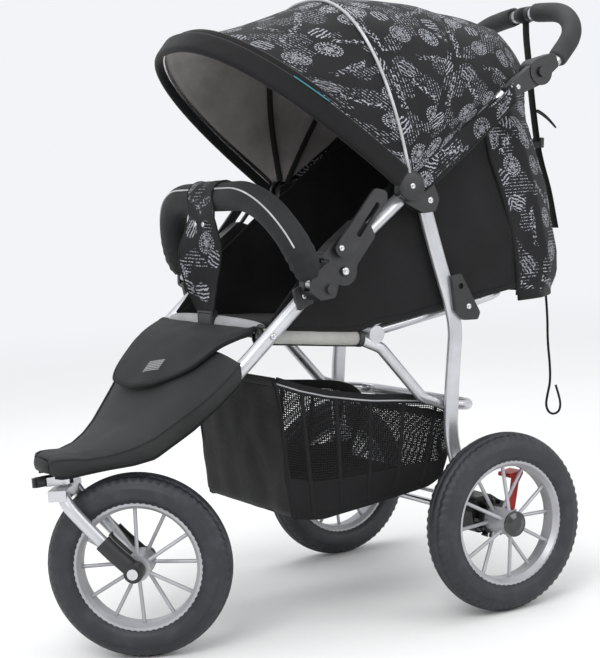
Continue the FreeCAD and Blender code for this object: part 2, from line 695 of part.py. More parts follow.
def basket():
    """The shopping basket: an open-topped bag hung inside the seat tube."""
    outline = [
        (-360, 436), (-350, 202), (-292, 192), (-70, 213), (-40, 225), (-22, 290), (0, 322),
        (-24, 350), (-55, 364), (-117, 374), (-178, 382), (-223, 392), (-266, 402), (-316, 418),
    ]
    outer = plate(outline, -155, 155, 6.0)
    inner = plate([
        (-353, 600), (-345, 207), (-291, 197), (-72, 218), (-44, 230), (-27, 292), (-8, 319),
        (-8, 600),
    ], -151, 151, 4.0)
    return outer.cut(inner)


# ---- Rear legs, axle and brake ----

def leg_path(x):
    return [
        v(x, *LEG_TOP), v(x, -44, 618), v(x, -21, 532), v(x, -15, 486), v(x, -31, 385),
        v(x, -40, 300), v(x, -25, 230), v(x, -3, 164),
    ]


def rear_leg():
    """A flat oval leg from the upper frame down to the axle housing."""
    path = rounded_wire(leg_path(LEG_X))
    top = v(LEG_X, *LEG_TOP)
    along = (leg_path(LEG_X)[1] - top).normalize()
    across = v(1, 0, 0).cross(along).normalize()
    flat = (LEG_WIDE - LEG_THICK) / 2
    thin = v(LEG_THICK / 2, 0, 0)
    a, b = top + across * flat, top - across * flat
    edges = [
        Part.LineSegment(a + thin, b + thin).toShape(),
        Part.Arc(b + thin, b - across * (LEG_THICK / 2), b - thin).toShape(),
        Part.LineSegment(b - thin, a - thin).toShape(),
        Part.Arc(a - thin, a + across * (LEG_THICK / 2), a + thin).toShape(),
    ]
    shape = path.makePipeShell([Part.Wire(edges)], True, False)
    eye = pin(LEG_X - LEG_THICK / 2, LEG_X + LEG_THICK / 2, LEG_TOP, LEG_WIDE / 2)
    shape = shape.fuse(eye)
    return shape.cut([pin(150, 230, LEG_TOP, PIVOT_R + RUN), axle_block(LEG_X - 11, LEG_X + 43)])


def axle_block(x0, x1):
    outline = [(-30, 132), (-36, 168), (-26, 194), (6, 196), (34, 176), (56, 172), (56, 148), (22, 128)]
    return plate(outline, x0, x1, 9.0)


def axle_housing():
    """The black block at a leg's foot that holds the axle and the brake rod."""
    body = axle_block(LEG_X - 11, LEG_X + 43)
    return body.cut([pin(100, 300, (0, AXLE_Z), REAR_AXLE_R), pin(100, 300, BRAKE_ROD, BRAKE_ROD_R + RUN)])


def rear_axle():
    end = REAR_WHEEL_X + HUB_HALF_LENGTH - 1.0
    return pin(-end, end, (0, AXLE_Z), REAR_AXLE_R)


def recline_bracket():
    """The slotted plate on the outside of a leg beside the backrest tube."""
    outline = [(-26, 582), (-6, 584), (30, 512), (24, 500), (-6, 502), (-22, 520)]
    body = plate(outline, LEG_X + 8, LEG_X + 15, 6.0)
    return body.cut(pin(190, 220, (-8, 562), 5.0))


def brake_rod():
    """The rod across both axle housings, with a hooked dog at each end for the toothed rings."""
    end = BRAKE_RING_X[1] - 1.0
    bar = pin(-end, end, BRAKE_ROD, BRAKE_ROD_R)
    y, z = BRAKE_ROD
    locked = [(y + 5, z + 2), (y + 2, z - 16), (y - 3, z - 20), (y - 20, z - 16), (y - 18.5, z - 11.6),
              (y - 6, z - 13), (y - 5, z + 2)]
    dog = plate(locked, BRAKE_RING_X[0] + 1, BRAKE_RING_X[1] - 1, 1.0)
    dog.rotate(v(0, y, z), v(1, 0, 0), BRAKE_TRAVEL)
    return bar.fuse([dog, mirrored(dog)])


def brake_pedal():
    """The red foot lever on the left end of the brake rod."""
    y, z = BRAKE_ROD
    outline = [(y - 8, z - 5), (y + 2, z - 10), (y + 10, z), (y + 22, z + 46), (y + 34, z + 62),
               (y + 26, z + 68), (y + 8, z + 60), (y - 3, z + 12)]
    body = plate(outline, LEG_X + 43.6, LEG_X + 45.6, 3.0)
    tread = plate([(y + 2, z + 56), (y + 32, z + 60), (y + 33, z + 67), (y + 4, z + 64)],
                  LEG_X + 12, LEG_X + 45.6, 2.5)
    return body.fuse(tread).cut(pin(100, 300, BRAKE_ROD, BRAKE_ROD_R))


# ---- Everything in place ----

def build():
    nodes = {}
    turn = -SWIVEL_DEG
    steer = v(0, STEER_Y, 0)
    fork, sleeves, axle = fork_parts()
    for name, shape in (("fork", fork), ("dropout_sleeves", sleeves), ("front_axle", axle)):
        nodes[name] = placed(shape, turn, steer)
    swing = math.radians(SWIVEL_DEG)
    hub = steer + v(TRAIL * math.sin(swing), TRAIL * math.cos(swing), WHEEL_R)
    nodes["front_tyre"] = placed(tyre(), turn, hub)
    nodes["front_rim"] = placed(rim(12.0), turn, hub)
    nodes["front_bearings"] = placed(front_bearings(), turn, hub)
    nodes["steering_head"] = steering_head()
    nodes["swivel_lock_knob"] = swivel_lock_knob()

    for side in ("left", "right"):
        def on_side(shape):
            return shape if side == "left" else mirrored(shape)
        at = v(REAR_WHEEL_X, 0, AXLE_Z)
        nodes["rear_tyre_" + side] = on_side(placed(tyre(), 0, at))
        nodes["rear_rim_" + side] = on_side(placed(rim(REAR_AXLE_R + RUN), 0, at))
        nodes["brake_ring_" + side] = on_side(placed(brake_ring(), 0, at))
        nodes["hub_cap_" + side] = on_side(placed(hub_cap(), 0, at))
        nodes["lower_tube_" + side] = on_side(lower_tube())
        nodes["upper_tube_" + side] = on_side(upper_tube())
        nodes["rear_leg_" + side] = on_side(rear_leg())
        nodes["fold_latch_" + side] = on_side(fold_latch())
        nodes["bumper_button_" + side] = on_side(bumper_button())
        nodes["handle_button_" + side] = on_side(handle_button())

    nodes["fold_sockets"] = both(fold_socket())
    nodes["fold_covers"] = both(fold_cover().fuse(latch_pin()))
    nodes["bumper_clamps"] = both(bumper_clamp())
    nodes["bumper_tube"] = bumper_tube()
    nodes["bumper_foam"] = bumper_foam()
    nodes["crotch_strap"] = crotch_strap()
    nodes["footrest_cover"] = footrest_cover()
    nodes["canopy_brackets"] = both(canopy_bracket())
    nodes["handle_housings"] = both(handle_housing())
    nodes["handle_knuckles"] = both(handle_knuckle())
    nodes["handle_tube"] = handle_tube()
    nodes["handle_foam"] = handle_foam()
    nodes["canopy_bow_front"] = bow(*BOW_FRONT)
    nodes["canopy_bow_middle"] = bow(*BOW_MIDDLE)
    nodes["canopy_bow_rear"] = bow(*BOW_REAR)
    nodes["canopy_gore_front"] = gore(gore_sections(BOW_FRONT, BOW_MIDDLE))
    nodes["canopy_gore_middle"] = gore(gore_sections(BOW_MIDDLE, BOW_REAR))
    nodes["canopy_gore_rear"] = gore(tail_sections())
    nodes["seat_tube"] = seat_tube()
    nodes["seat_pad"] = seat_pad()
    nodes["backrest_tube"] = backrest_tube()
    nodes["backrest_pad"] = backrest_pad()
    nodes["seat_walls"] = seat_walls()
    nodes["rear_panel"] = rear_panel()
    nodes["recline_strap"] = recline_strap()
    nodes["pull_strap"] = pull_strap()
    nodes["basket"] = basket()
    nodes["rear_axle"] = rear_axle()
    nodes["axle_housings"] = both(axle_housing())
    nodes["recline_brackets"] = both(recline_bracket())
    nodes["brake_rod"] = brake_rod()
    nodes["brake_pedal"] = brake_pedal()
    return nodes


def export(nodes):
    os.makedirs("parts", exist_ok=True)
    for name, shape in nodes.items():
        moved = shape.copy()
        moved.translate(v(0, AXLE_BEHIND_MIDDLE, 0))
        moved.exportStep("parts/" + name + ".step")


if __name__ == "__main__":
    export(build())
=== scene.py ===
import bpy
import bmesh
import json
import math
from mathutils import Euler, Matrix, Vector, noise


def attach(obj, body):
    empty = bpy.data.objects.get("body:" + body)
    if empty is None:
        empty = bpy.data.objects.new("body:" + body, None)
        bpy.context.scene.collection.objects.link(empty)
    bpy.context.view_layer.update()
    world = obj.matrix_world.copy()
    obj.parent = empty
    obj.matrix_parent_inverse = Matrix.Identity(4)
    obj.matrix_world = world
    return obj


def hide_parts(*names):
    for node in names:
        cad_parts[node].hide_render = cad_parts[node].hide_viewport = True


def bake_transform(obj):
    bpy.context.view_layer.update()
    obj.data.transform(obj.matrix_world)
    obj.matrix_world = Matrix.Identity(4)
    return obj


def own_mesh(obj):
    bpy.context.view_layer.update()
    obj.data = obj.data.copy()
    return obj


# A three-wheel jogging stroller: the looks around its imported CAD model. Points below are in millimetres in
# the CAD source's own layout: the origin on the ground under the rear axle, the front towards -Y, +X the
# child's left. at() turns them into the row's frame, in metres.

AXLE_BEHIND_MIDDLE = 175.2

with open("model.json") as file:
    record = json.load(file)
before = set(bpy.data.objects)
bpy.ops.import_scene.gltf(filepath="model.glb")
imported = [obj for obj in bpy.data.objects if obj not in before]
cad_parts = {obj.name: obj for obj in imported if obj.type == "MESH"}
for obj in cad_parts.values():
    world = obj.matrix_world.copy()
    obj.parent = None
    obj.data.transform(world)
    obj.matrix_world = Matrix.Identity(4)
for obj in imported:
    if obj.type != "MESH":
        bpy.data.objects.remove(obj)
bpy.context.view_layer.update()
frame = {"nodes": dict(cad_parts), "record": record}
NODES = frame["nodes"]


def at(x, y, z):
    return Vector((x / 1000, (y + AXLE_BEHIND_MIDDLE) / 1000, z / 1000))


# ---- Camera, lights and floor ----

CAMERA_AT = (2373.5, -1576.0, 786.9)
CAMERA_TURN = 60.233          # degrees from +Y towards -X
CAMERA_DIP = 5.988
CAMERA_ROLL = -4.239
CAMERA_LENS = 84.10


def make_camera():
    turn, dip, roll = (math.radians(a) for a in (CAMERA_TURN, CAMERA_DIP, CAMERA_ROLL))
    ahead = Vector((-math.sin(turn) * math.cos(dip), math.cos(turn) * math.cos(dip), -math.sin(dip)))
    right = Vector((math.cos(turn), math.sin(turn), 0))
    up = right.cross(ahead)
    right, up = (right * math.cos(roll) + up * math.sin(roll),
                 up * math.cos(roll) - right * math.sin(roll))
    data = bpy.data.cameras.new("camera")
    data.lens = CAMERA_LENS
    data.sensor_width = 36.0
    camera = bpy.data.objects.new("camera", data)
    matrix = Matrix((right, up, -ahead)).transposed().to_4x4()
    matrix.translation = at(*CAMERA_AT)
    camera.matrix_world = matrix
    bpy.context.scene.collection.objects.link(camera)
    bpy.context.scene.camera = camera


LIGHTS = [          # name, place, aim, side of the square in metres, watts
    ("key", (1.9, -2.2, 2.7), (0, 0, 0.45), 1.8, 58),
    ("fill", (2.8, 1.6, 1.8), (0, 0, 0.5), 1.6, 26),
    ("top", (-0.4, 0.2, 3.0), (0, 0, 0.3), 2.4, 36),
]


def make_lights():
    for name, place, aim, size, watts in LIGHTS:
        data = bpy.data.lights.new(name, "AREA")
        data.size = size
        data.energy = watts
        light = bpy.data.objects.new(name, data)
        light.location = place
        light.rotation_euler = (Vector(aim) - Vector(place)).to_track_quat("-Z", "Y").to_euler()
        bpy.context.scene.collection.objects.link(light)


WORLD_COLOUR = (0.96, 0.97, 1.0)
WORLD_STRENGTH = 0.93


def make_world():
    world = bpy.data.worlds.new("studio")
    bpy.context.scene.world = world
    world.use_nodes = True
    back = world.node_tree.nodes["Background"]
    back.inputs["Color"].default_value = (*WORLD_COLOUR, 1)
    back.inputs["Strength"].default_value = WORLD_STRENGTH
    bpy.context.scene.view_settings.view_transform = "Standard"


# ---- Material kit ----

class Nodes:
    """Short calls for building one material's node tree."""

    def __init__(self, name):
        self.material = bpy.data.materials.new(name)
        self.material.use_nodes = True
        self.tree = self.material.node_tree
        self.shader = self.tree.nodes["Principled BSDF"]

    def add(self, kind, inputs=None, **settings):
        node = self.tree.nodes.new(kind)
        for key, value in settings.items():
            setattr(node, key, value)
        for key, value in (inputs or {}).items():
            self.feed(node.inputs[key], value)
        return node

    def feed(self, socket, value):
        if isinstance(value, bpy.types.NodeSocket):
            self.tree.links.new(value, socket)
        else:
            socket.default_value = value

    def math(self, operation, *values, clamp=False):
        node = self.add("ShaderNodeMath", operation=operation, use_clamp=clamp)
        for socket, value in zip(node.inputs, values):
            self.feed(socket, value)
        return node.outputs[0]

    def times(self, a, b, clamp=False):
        return self.math("MULTIPLY", a, b, clamp=clamp)

    def plus(self, a, b):
        return self.math("ADD", a, b)

    def most(self, a, b):
        return self.math("MAXIMUM", a, b)

    def above(self, a, b):
        return self.math("GREATER_THAN", a, b)

    def below(self, a, b):
        return self.math("LESS_THAN", a, b)

    def sine(self, a):
        return self.math("SINE", a)

    def vector(self, operation, *values):
        node = self.add("ShaderNodeVectorMath", operation=operation)
        for socket, value in zip(node.inputs, values):
            self.feed(socket, value)
        return node.outputs[0]

    def axes(self, source):
        return self.add("ShaderNodeSeparateXYZ", {"Vector": source}).outputs

    def distance(self, source):
        node = self.add("ShaderNodeVectorMath", {0: source}, operation="LENGTH")
        return node.outputs["Value"]

    def noise(self, source, scale, detail=3.0, rough=0.55):
        node = self.add("ShaderNodeTexNoise", {"Vector": source, "Scale": scale, "Detail": detail,
                                               "Roughness": rough})
        return node.outputs["Fac"]

    def ramp(self, source, low, high, a=0.0, b=1.0, smooth=True):
        node = self.add("ShaderNodeMapRange", {"Value": source, "From Min": low, "From Max": high,
                                               "To Min": a, "To Max": b})
        node.interpolation_type = "SMOOTHSTEP" if smooth else "LINEAR"
        return node.outputs["Result"]

    def mix(self, share, a, b):
        node = self.add("ShaderNodeMix", data_type="RGBA")
        self.feed(node.inputs[0], share)
        self.feed(node.inputs[6], a if isinstance(a, bpy.types.NodeSocket) else rgba(a))
        self.feed(node.inputs[7], b if isinstance(b, bpy.types.NodeSocket) else rgba(b))
        return node.outputs[2]

    def place(self):
        """Coordinates in metres that stay on the object."""
        return self.add("ShaderNodeTexCoord").outputs["Object"]

    def uv(self):
        return self.add("ShaderNodeTexCoord").outputs["UV"]

    def bump(self, height, distance, strength=1.0, normal=None):
        node = self.add("ShaderNodeBump", {"Height": height, "Distance": distance,
                                           "Strength": strength})
        if normal is not None:
            self.feed(node.inputs["Normal"], normal)
        return node.outputs["Normal"]

    def set(self, **values):
        for key, value in values.items():
            self.feed(self.shader.inputs[key.replace("_", " ")], value)


def rgba(colour):
    return (colour[0], colour[1], colour[2], 1.0)


def shade(colour, factor, lift=0.0):
    return tuple(min(1, c * factor + lift) for c in colour)


def painted(name, colour, rough, metal, grain=900.0):
    """Paint or bare metal: a fine orange peel, with faint cloudy wear in colour and gloss."""
    n = Nodes(name)
    spot = n.place()
    cloud = n.noise(spot, 14.0, 4.0)
    fine = n.noise(spot, grain, 2.0)
    darker = shade(colour, 0.86)
    n.set(Base_Color=n.mix(n.ramp(cloud, 0.35, 0.65), darker, colour), Metallic=metal,
          Roughness=n.plus(n.times(cloud, 0.14), rough - 0.07),
          Normal=n.bump(fine, 0.00012, 0.35))
    return n.material


def moulded(name, colour, rough, grain=1400.0, depth=0.0002, coat=0.0):
    """Moulded plastic with a spark-eroded grain and slightly paler, rubbed patches."""
    n = Nodes(name)
    spot = n.place()
    cloud = n.noise(spot, 22.0, 4.0)
    grain_map = n.noise(spot, grain, 3.0, 0.7)
    rubbed = shade(colour, 1.5, 0.004)
    n.set(Base_Color=n.mix(n.ramp(cloud, 0.45, 0.75), colour, rubbed),
          Roughness=n.plus(n.times(cloud, 0.16), rough - 0.08),
          Coat_Weight=coat, Coat_Roughness=0.08, Normal=n.bump(grain_map, depth, 0.5))
    return n.material


def rubber(name, colour):
    n = Nodes(name)
    spot = n.place()
    dust = n.noise(spot, 30.0, 5.0, 0.65)
    fine = n.noise(spot, 700.0, 3.0)
    dusty = shade(colour, 1.7, 0.006)
    n.set(Base_Color=n.mix(n.ramp(dust, 0.42, 0.72), colour, dusty),
          Roughness=n.plus(n.times(dust, 0.22), 0.42),
          Normal=n.bump(fine, 0.00025, 0.5))
    return n.material


def weave_height(n, source, threads):
    """A plain weave: two crossing sets of threads, threads per metre."""
    parts = n.axes(n.vector("MULTIPLY", source, (threads, threads, threads)))
    across, along = (n.math("ABSOLUTE", n.sine(n.times(part, math.pi))) for part in parts[:2])
    return n.times(across, along)


CLOTH_SPECULAR = 0.22


def cloth(name, colour, threads=700.0, sheen=0.06, rough=0.78, folds=0.0016, variation=0.25):
    """Woven cloth on a mesh whose UV map is in metres."""
    n = Nodes(name)
    uv, spot = n.uv(), n.place()
    weave = weave_height(n, uv, threads)
    cloud = n.noise(spot, 9.0, 4.0)
    crease = n.noise(n.vector("MULTIPLY", spot, (1.0, 1.0, 1.6)), 24.0, 3.0, 0.5)
    clouded = n.mix(n.ramp(cloud, 0.3, 0.7), shade(colour, 1 - variation), shade(colour, 1 + variation))
    # The gaps between the threads are painted darker than the thread tops: painted shade in the weave.
    woven = n.mix(n.times(weave, 0.45), shade(colour, 0.55), clouded)
    normal = n.bump(crease, folds, 0.55)
    n.set(Base_Color=n.mix(0.72, woven, clouded), Roughness=rough,
          Sheen_Weight=sheen, Sheen_Roughness=0.4, Specular_IOR_Level=CLOTH_SPECULAR,
          Normal=n.bump(weave, 0.0003, 0.55, normal))
    return n.material


PRINT_MARKS = 19.0                  # marks per metre of cloth, and below it lengths in metres
DASHED_RING = (0.0175, 0.0016)      # radius and half width
THIN_RING = (0.0135, 0.0005)
ROSETTE = (0.0085, 0.0011)
CORE_R = 0.0035
RING_DASHES = 22.0
PETALS = 5.0
PETAL_DEPTH = 0.0042
BRUSH_R = 0.016
BRUSH_STROKES = 900.0
FLECK_BAND = (0.004, 0.0055)
DASH_ROWS = 0.006


def stamp_mark(n, radius, angle):
    """A ring of dashes, a thin ring, and a rosette with its core."""
    def band(value, middle, half):
        return n.math("COMPARE", value, middle, half)

    dashed = n.times(band(radius, *DASHED_RING), n.above(n.sine(n.times(angle, RING_DASHES)), 0.1))
    petals = n.times(n.math("COSINE", n.times(angle, PETALS)), PETAL_DEPTH)
    wavy = n.plus(radius, petals)
    return n.most(n.most(dashed, band(radius, *THIN_RING)),
                  n.most(band(wavy, *ROSETTE), n.below(wavy, CORE_R)))


def printed_cloth(name, base, ink):
    """Dark cloth with a worn, abstract pale print: rings of dashes, rosettes and loose brush marks."""
    n = Nodes(name)
    uv, spot = n.uv(), n.place()
    cell = n.add("ShaderNodeTexVoronoi", {"Vector": uv, "Scale": PRINT_MARKS, "Randomness": 0.7},
                 voronoi_dimensions="2D")
    local = n.vector("SUBTRACT", uv, cell.outputs["Position"])
    pick = n.axes(cell.outputs["Color"])
    turned = n.add("ShaderNodeVectorRotate", {"Vector": local, "Angle": n.times(pick[0], 2 * math.pi)},
                   rotation_type="Z_AXIS").outputs[0]
    along = n.axes(turned)
    radius = n.distance(turned)
    stamp = stamp_mark(n, radius, n.math("ARCTAN2", along[1], along[0]))
    bend = n.noise(turned, 90.0, 2.0)
    strokes = n.sine(n.plus(n.times(along[1], BRUSH_STROKES), n.times(bend, 9.0)))
    brush = n.times(n.above(strokes, 0.45), n.below(radius, BRUSH_R))
    flecks = n.math("COMPARE", n.plus(along[1], n.times(bend, 0.01)), *FLECK_BAND)
    flecks = n.times(n.above(n.noise(uv, 210.0, 2.0), 0.56), flecks)
    first, second = n.above(pick[1], 0.58), n.below(pick[1], 0.30)
    third = n.math("SUBTRACT", 1.0, n.most(first, second))
    mark = n.most(n.times(stamp, first), n.times(brush, second))
    mark = n.most(mark, n.times(flecks, third))
    rows = n.above(n.sine(n.times(n.axes(uv)[1], 2 * math.pi / DASH_ROWS)), 0.55)
    dashes = n.times(rows, n.above(n.noise(uv, 330.0, 1.0), 0.52))
    mark = n.most(mark, n.times(dashes, n.above(n.noise(uv, 17.0, 1.0), 0.53)))
    worn = n.ramp(n.noise(uv, 420.0, 4.0, 0.7), 0.36, 0.50)
    faded = n.times(worn, n.ramp(n.noise(uv, 11.0, 2.0), 0.25, 0.55, 0.45, 1.0))
    mark = n.times(mark, faded, clamp=True)
    plain = n.mix(n.ramp(n.noise(spot, 9.0, 4.0), 0.3, 0.7), shade(base, 0.75), shade(base, 1.25))
    normal = n.bump(n.noise(spot, 22.0, 3.0, 0.5), 0.0018, 0.5)
    n.set(Base_Color=n.mix(mark, plain, ink), Roughness=0.78, Sheen_Weight=0.05, Sheen_Roughness=0.4,
          Specular_IOR_Level=CLOTH_SPECULAR, Normal=n.bump(weave_height(n, uv, 800.0), 0.0003, 0.5, normal))
    return n.material


def stitched_label(name):
    """A woven badge: rows of short pale stitches on black."""
    n = Nodes(name)
    across = n.axes(n.uv())
    dash = n.above(n.math("FRACT", n.times(across[0], 210.0)), 0.34)
    line = n.above(n.math("FRACT", n.times(across[1], 260.0)), 0.40)
    stitches = n.times(dash, line)
    n.set(Base_Color=n.mix(stitches, (0.012, 0.012, 0.012), (0.42, 0.42, 0.42)), Roughness=0.6,
          Normal=n.bump(stitches, 0.0003))
    return n.material


def foam_rubber(name, colour, pitch):
    """Closed-cell foam with fine ribs along it: pitch is the spacing along the UV's second axis."""
    n = Nodes(name)
    uv, spot = n.uv(), n.place()
    along = n.axes(uv)[1]
    rib = n.math("ABSOLUTE", n.sine(n.times(along, math.pi / pitch)))
    pores = n.noise(spot, 1500.0, 3.0, 0.7)
    cloud = n.noise(spot, 20.0, 3.0)
    n.set(Base_Color=n.mix(n.ramp(cloud, 0.35, 0.7), colour, shade(colour, 1.6, 0.004)),
          Roughness=0.72, Normal=n.bump(rib, 0.0006, 0.6, n.bump(pores, 0.0003, 0.5)))
    return n.material


def webbing(name, colour):
    """Narrow woven tape: ribs across it, with a smoother selvedge."""
    n = Nodes(name)
    uv = n.uv()
    parts = n.axes(uv)
    rows = n.math("ABSOLUTE", n.sine(n.times(parts[1], math.pi / 0.0016)))
    columns = n.math("ABSOLUTE", n.sine(n.times(parts[0], math.pi / 0.0022)))
    height = n.times(rows, n.plus(n.times(columns, 0.4), 0.6))
    # The grooves between the ribs are painted darker than the rib tops: painted shade.
    n.set(Base_Color=n.mix(height, shade(colour, 0.55), colour), Roughness=0.75,
          Sheen_Weight=0.05, Specular_IOR_Level=CLOTH_SPECULAR, Normal=n.bump(height, 0.0005, 0.7))
    return n.material


def floor_paint(name):
    """Pale matt paint that turns into the colour of the background far from the object."""
    n = Nodes(name)
    spot = n.place()
    cloud = n.noise(spot, 2.0, 2.0)
    reach = n.distance(spot)
    far = n.ramp(reach, 1.6, 6.0)
    paint = n.mix(cloud, (0.80, 0.80, 0.79), (0.84, 0.84, 0.83))
    n.set(Base_Color=n.mix(far, paint, (0.0, 0.0, 0.0)), Roughness=0.6, Specular_IOR_Level=0.0,
          Emission_Color=rgba(WORLD_COLOUR), Emission_Strength=n.times(far, WORLD_STRENGTH))
    return n.material


# ---- Mesh kit ----

def link(name, data):
    obj = bpy.data.objects.new(name, data)
    bpy.context.scene.collection.objects.link(obj)
    return obj


def mesh_object(name, points, faces, uvs=None):
    """uvs holds one (u, v) per face corner, in metres."""
    mesh = bpy.data.meshes.new(name)
    mesh.from_pydata([tuple(p) for p in points], [], faces)
    if uvs:
        layer = mesh.uv_layers.new(name="UVMap")
        for loop, uv in zip(layer.data, uvs):
            loop.uv = uv
    mesh.validate()
    for polygon in mesh.polygons:
        polygon.use_smooth = True
    return link(name, mesh)


def grid(name, rows, closed=False):
    """A sheet through rows of points, its UV map measured along the rows and across them in metres."""
    count = len(rows[0])
    points = [p for row in rows for p in row]
    us = []
    for row in rows:
        run = [0.0]
        for a, b in zip(row, row[1:] + row[:1]):
            run.append(run[-1] + (b - a).length)
        shift = run[count - 1] / 2
        us.append([u - shift for u in run])
    vs = [[0.0] * (count + 1)]
    for below, above in zip(rows, rows[1:]):
        steps = [(b - a).length for a, b in zip(below, above)]
        vs.append([v + s for v, s in zip(vs[-1], steps + steps[:1])])
    faces, uvs = [], []
    last = count if closed else count - 1
    for i in range(len(rows) - 1):
        for j in range(last):
            k = (j + 1) % count
            faces.append((i * count + j, i * count + k, (i + 1) * count + k, (i + 1) * count + j))
            uvs += [(us[i][j], vs[i][j]), (us[i][j + 1], vs[i][j + 1]),
                    (us[i + 1][j + 1], vs[i + 1][j + 1]), (us[i + 1][j], vs[i + 1][j])]
    return mesh_object(name, points, faces, uvs)


def thicken(obj, thickness, offset=0.0):
    solid = obj.modifiers.new("thickness", "SOLIDIFY")
    solid.thickness = thickness
    solid.offset = offset
    solid.use_even_offset = True
    return obj


def smoother(obj, levels=1):
    sub = obj.modifiers.new("smooth", "SUBSURF")
    sub.levels = levels
    sub.render_levels = levels
    return obj


def applied(obj):
    """The object with its modifiers made part of its mesh."""
    depsgraph = bpy.context.evaluated_depsgraph_get()
    mesh = bpy.data.meshes.new_from_object(obj.evaluated_get(depsgraph), depsgraph=depsgraph)
    obj.modifiers.clear()
    obj.data = mesh
    return obj


def smooth_path(points, step=6.0):
    """A Catmull-Rom curve through points, sampled about every step millimetres."""
    ends = [points[0] * 2 - points[1]] + list(points) + [points[-1] * 2 - points[-2]]
    out = [points[0]]
    for a, b, c, d in zip(ends, ends[1:], ends[2:], ends[3:]):
        count = max(1, int((c - b).length * 1000 / step))
        for i in range(1, count + 1):
            t = i / count
            out.append(0.5 * (2 * b + (c - a) * t + (2 * a - 5 * b + 4 * c - d) * t * t
                              + (3 * b - 3 * c + d - a) * t ** 3))
    return out


END_RUN = 0.99
MIDDLE_RUN = 0.49


def rounded_path(points, bend, step=6.0):
    """Straight runs joined by arcs of radius bend in millimetres, sampled evenly enough to sweep along."""
    out = [points[0]]
    shares = [END_RUN] + [MIDDLE_RUN] * (len(points) - 3) + [END_RUN]
    for index, (before, corner, after) in enumerate(zip(points, points[1:], points[2:])):
        into, leave = (corner - before).normalized(), (after - corner).normalized()
        turn = into.angle(leave)
        if turn < 1e-3:
            out.append(corner)
            continue
        room = min((corner - before).length * shares[index], (after - corner).length * shares[index + 1])
        cut = min(bend / 1000 * math.tan(turn / 2), room)
        radius = cut / math.tan(turn / 2)
        inward = (leave - into).normalized()
        centre = corner + inward * (radius / math.cos(turn / 2))
        count = max(3, int(radius * turn * 1000 / step))
        start = corner - into * cut - centre
        axis = into.cross(leave).normalized()
        for i in range(count + 1):
            out.append(centre + Matrix.Rotation(turn * i / count, 3, axis) @ start)
    out.append(points[-1])
    return out


def frames(points, up=None):
    """Tangent, side and up at every point of a path, turning as little as they can."""
    tangents = []
    for i in range(len(points)):
        a, b = points[max(0, i - 1)], points[min(len(points) - 1, i + 1)]
        tangents.append((b - a).normalized())
    first = up or (Vector((0, 0, 1)) if abs(tangents[0].z) < 0.9 else Vector((1, 0, 0)))
    result = []
    for tangent in tangents:
        first = (first - tangent * first.dot(tangent)).normalized()
        result.append((tangent, tangent.cross(first), first))
    return result


def sweep(name, points, section, up=None, closed=True, caps=True, scale=None):
    """A section of (side, up) offsets in millimetres carried along a path."""
    rows = []
    for i, (point, (tangent, side, above)) in enumerate(zip(points, frames(points, up))):
        size = scale(i / (len(points) - 1)) if scale else 1.0
        rows.append([point + side * (a * size / 1000) + above * (b * size / 1000) for a, b in section])
    obj = grid(name, rows, closed)
    if closed and caps:
        close_ends(obj)
    return obj


def close_ends(obj):
    """Fills every open rim, its new faces mapped to one place on the UV map."""
    bm = bmesh.new()
    bm.from_mesh(obj.data)
    rims = [e for e in bm.edges if e.is_boundary]
    bmesh.ops.holes_fill(bm, edges=rims, sides=0)
    bmesh.ops.recalc_face_normals(bm, faces=bm.faces)
    bm.to_mesh(obj.data)
    bm.free()


def weld(obj, distance=1e-6):
    """Joins points closer than distance, in metres, and turns every face outwards."""
    bm = bmesh.new()
    bm.from_mesh(obj.data)
    bmesh.ops.remove_doubles(bm, verts=bm.verts, dist=distance)
    bmesh.ops.recalc_face_normals(bm, faces=bm.faces)
    bm.to_mesh(obj.data)
    bm.free()
    return obj


def circle(radius, count=16):
    return [(radius * math.cos(2 * math.pi * i / count), radius * math.sin(2 * math.pi * i / count))
            for i in range(count)]


def tape(width, thick, edge=None):
    """A flat strap's section with rounded edges."""
    half, edge = width / 2, edge or thick / 2
    h = thick / 2
    return [(half - edge, -h), (half, -h * 0.3), (half, h * 0.3), (half - edge, h), (0, h),
            (edge - half, h), (-half, h * 0.3), (-half, -h * 0.3), (edge - half, -h), (0, -h)]


def lathe(name, profile, centre, axis, count=96):
    """A profile of (along, radius) millimetres turned about an axis through centre."""
    axis = axis.normalized()
    side = axis.cross(Vector((0, 0, 1)) if abs(axis.z) < 0.9 else Vector((1, 0, 0))).normalized()
    other = axis.cross(side)
    rows = []
    for i in range(count):
        turn = 2 * math.pi * i / count
        out = side * math.cos(turn) + other * math.sin(turn)
        rows.append([centre + axis * (a / 1000) + out * (r / 1000) for a, r in profile])
    rows.append(rows[0])
    return weld(grid(name, rows))


def soft_tube(name, path, count, radius, up=None):
    """A closed tube of radius(i, turn) millimetres at point i of its path, at a turn round it."""
    rows = []
    for i, (point, (tangent, side, above)) in enumerate(zip(path, frames(path, up))):
        row = []
        for j in range(count):
            turn = 2 * math.pi * j / count
            r = radius(i, turn) / 1000
            row.append(point + side * (r * math.cos(turn)) + above * (r * math.sin(turn)))
        rows.append(row)
    tube = grid(name, rows, closed=True)
    close_ends(tube)
    return tube


def across(half, count):
    """count values evenly spaced from -half to half."""
    return [half * (2 * j / (count - 1) - 1) for j in range(count)]


def between(table, key):
    """The row of a table at key, worked out from the rows on either side of it."""
    for a, b in zip(table, table[1:]):
        if key <= b[0] + 1e-6:
            t = (key - a[0]) / (b[0] - a[0])
            return [p + (q - p) * t for p, q in zip(a, b)]
    return list(table[-1])


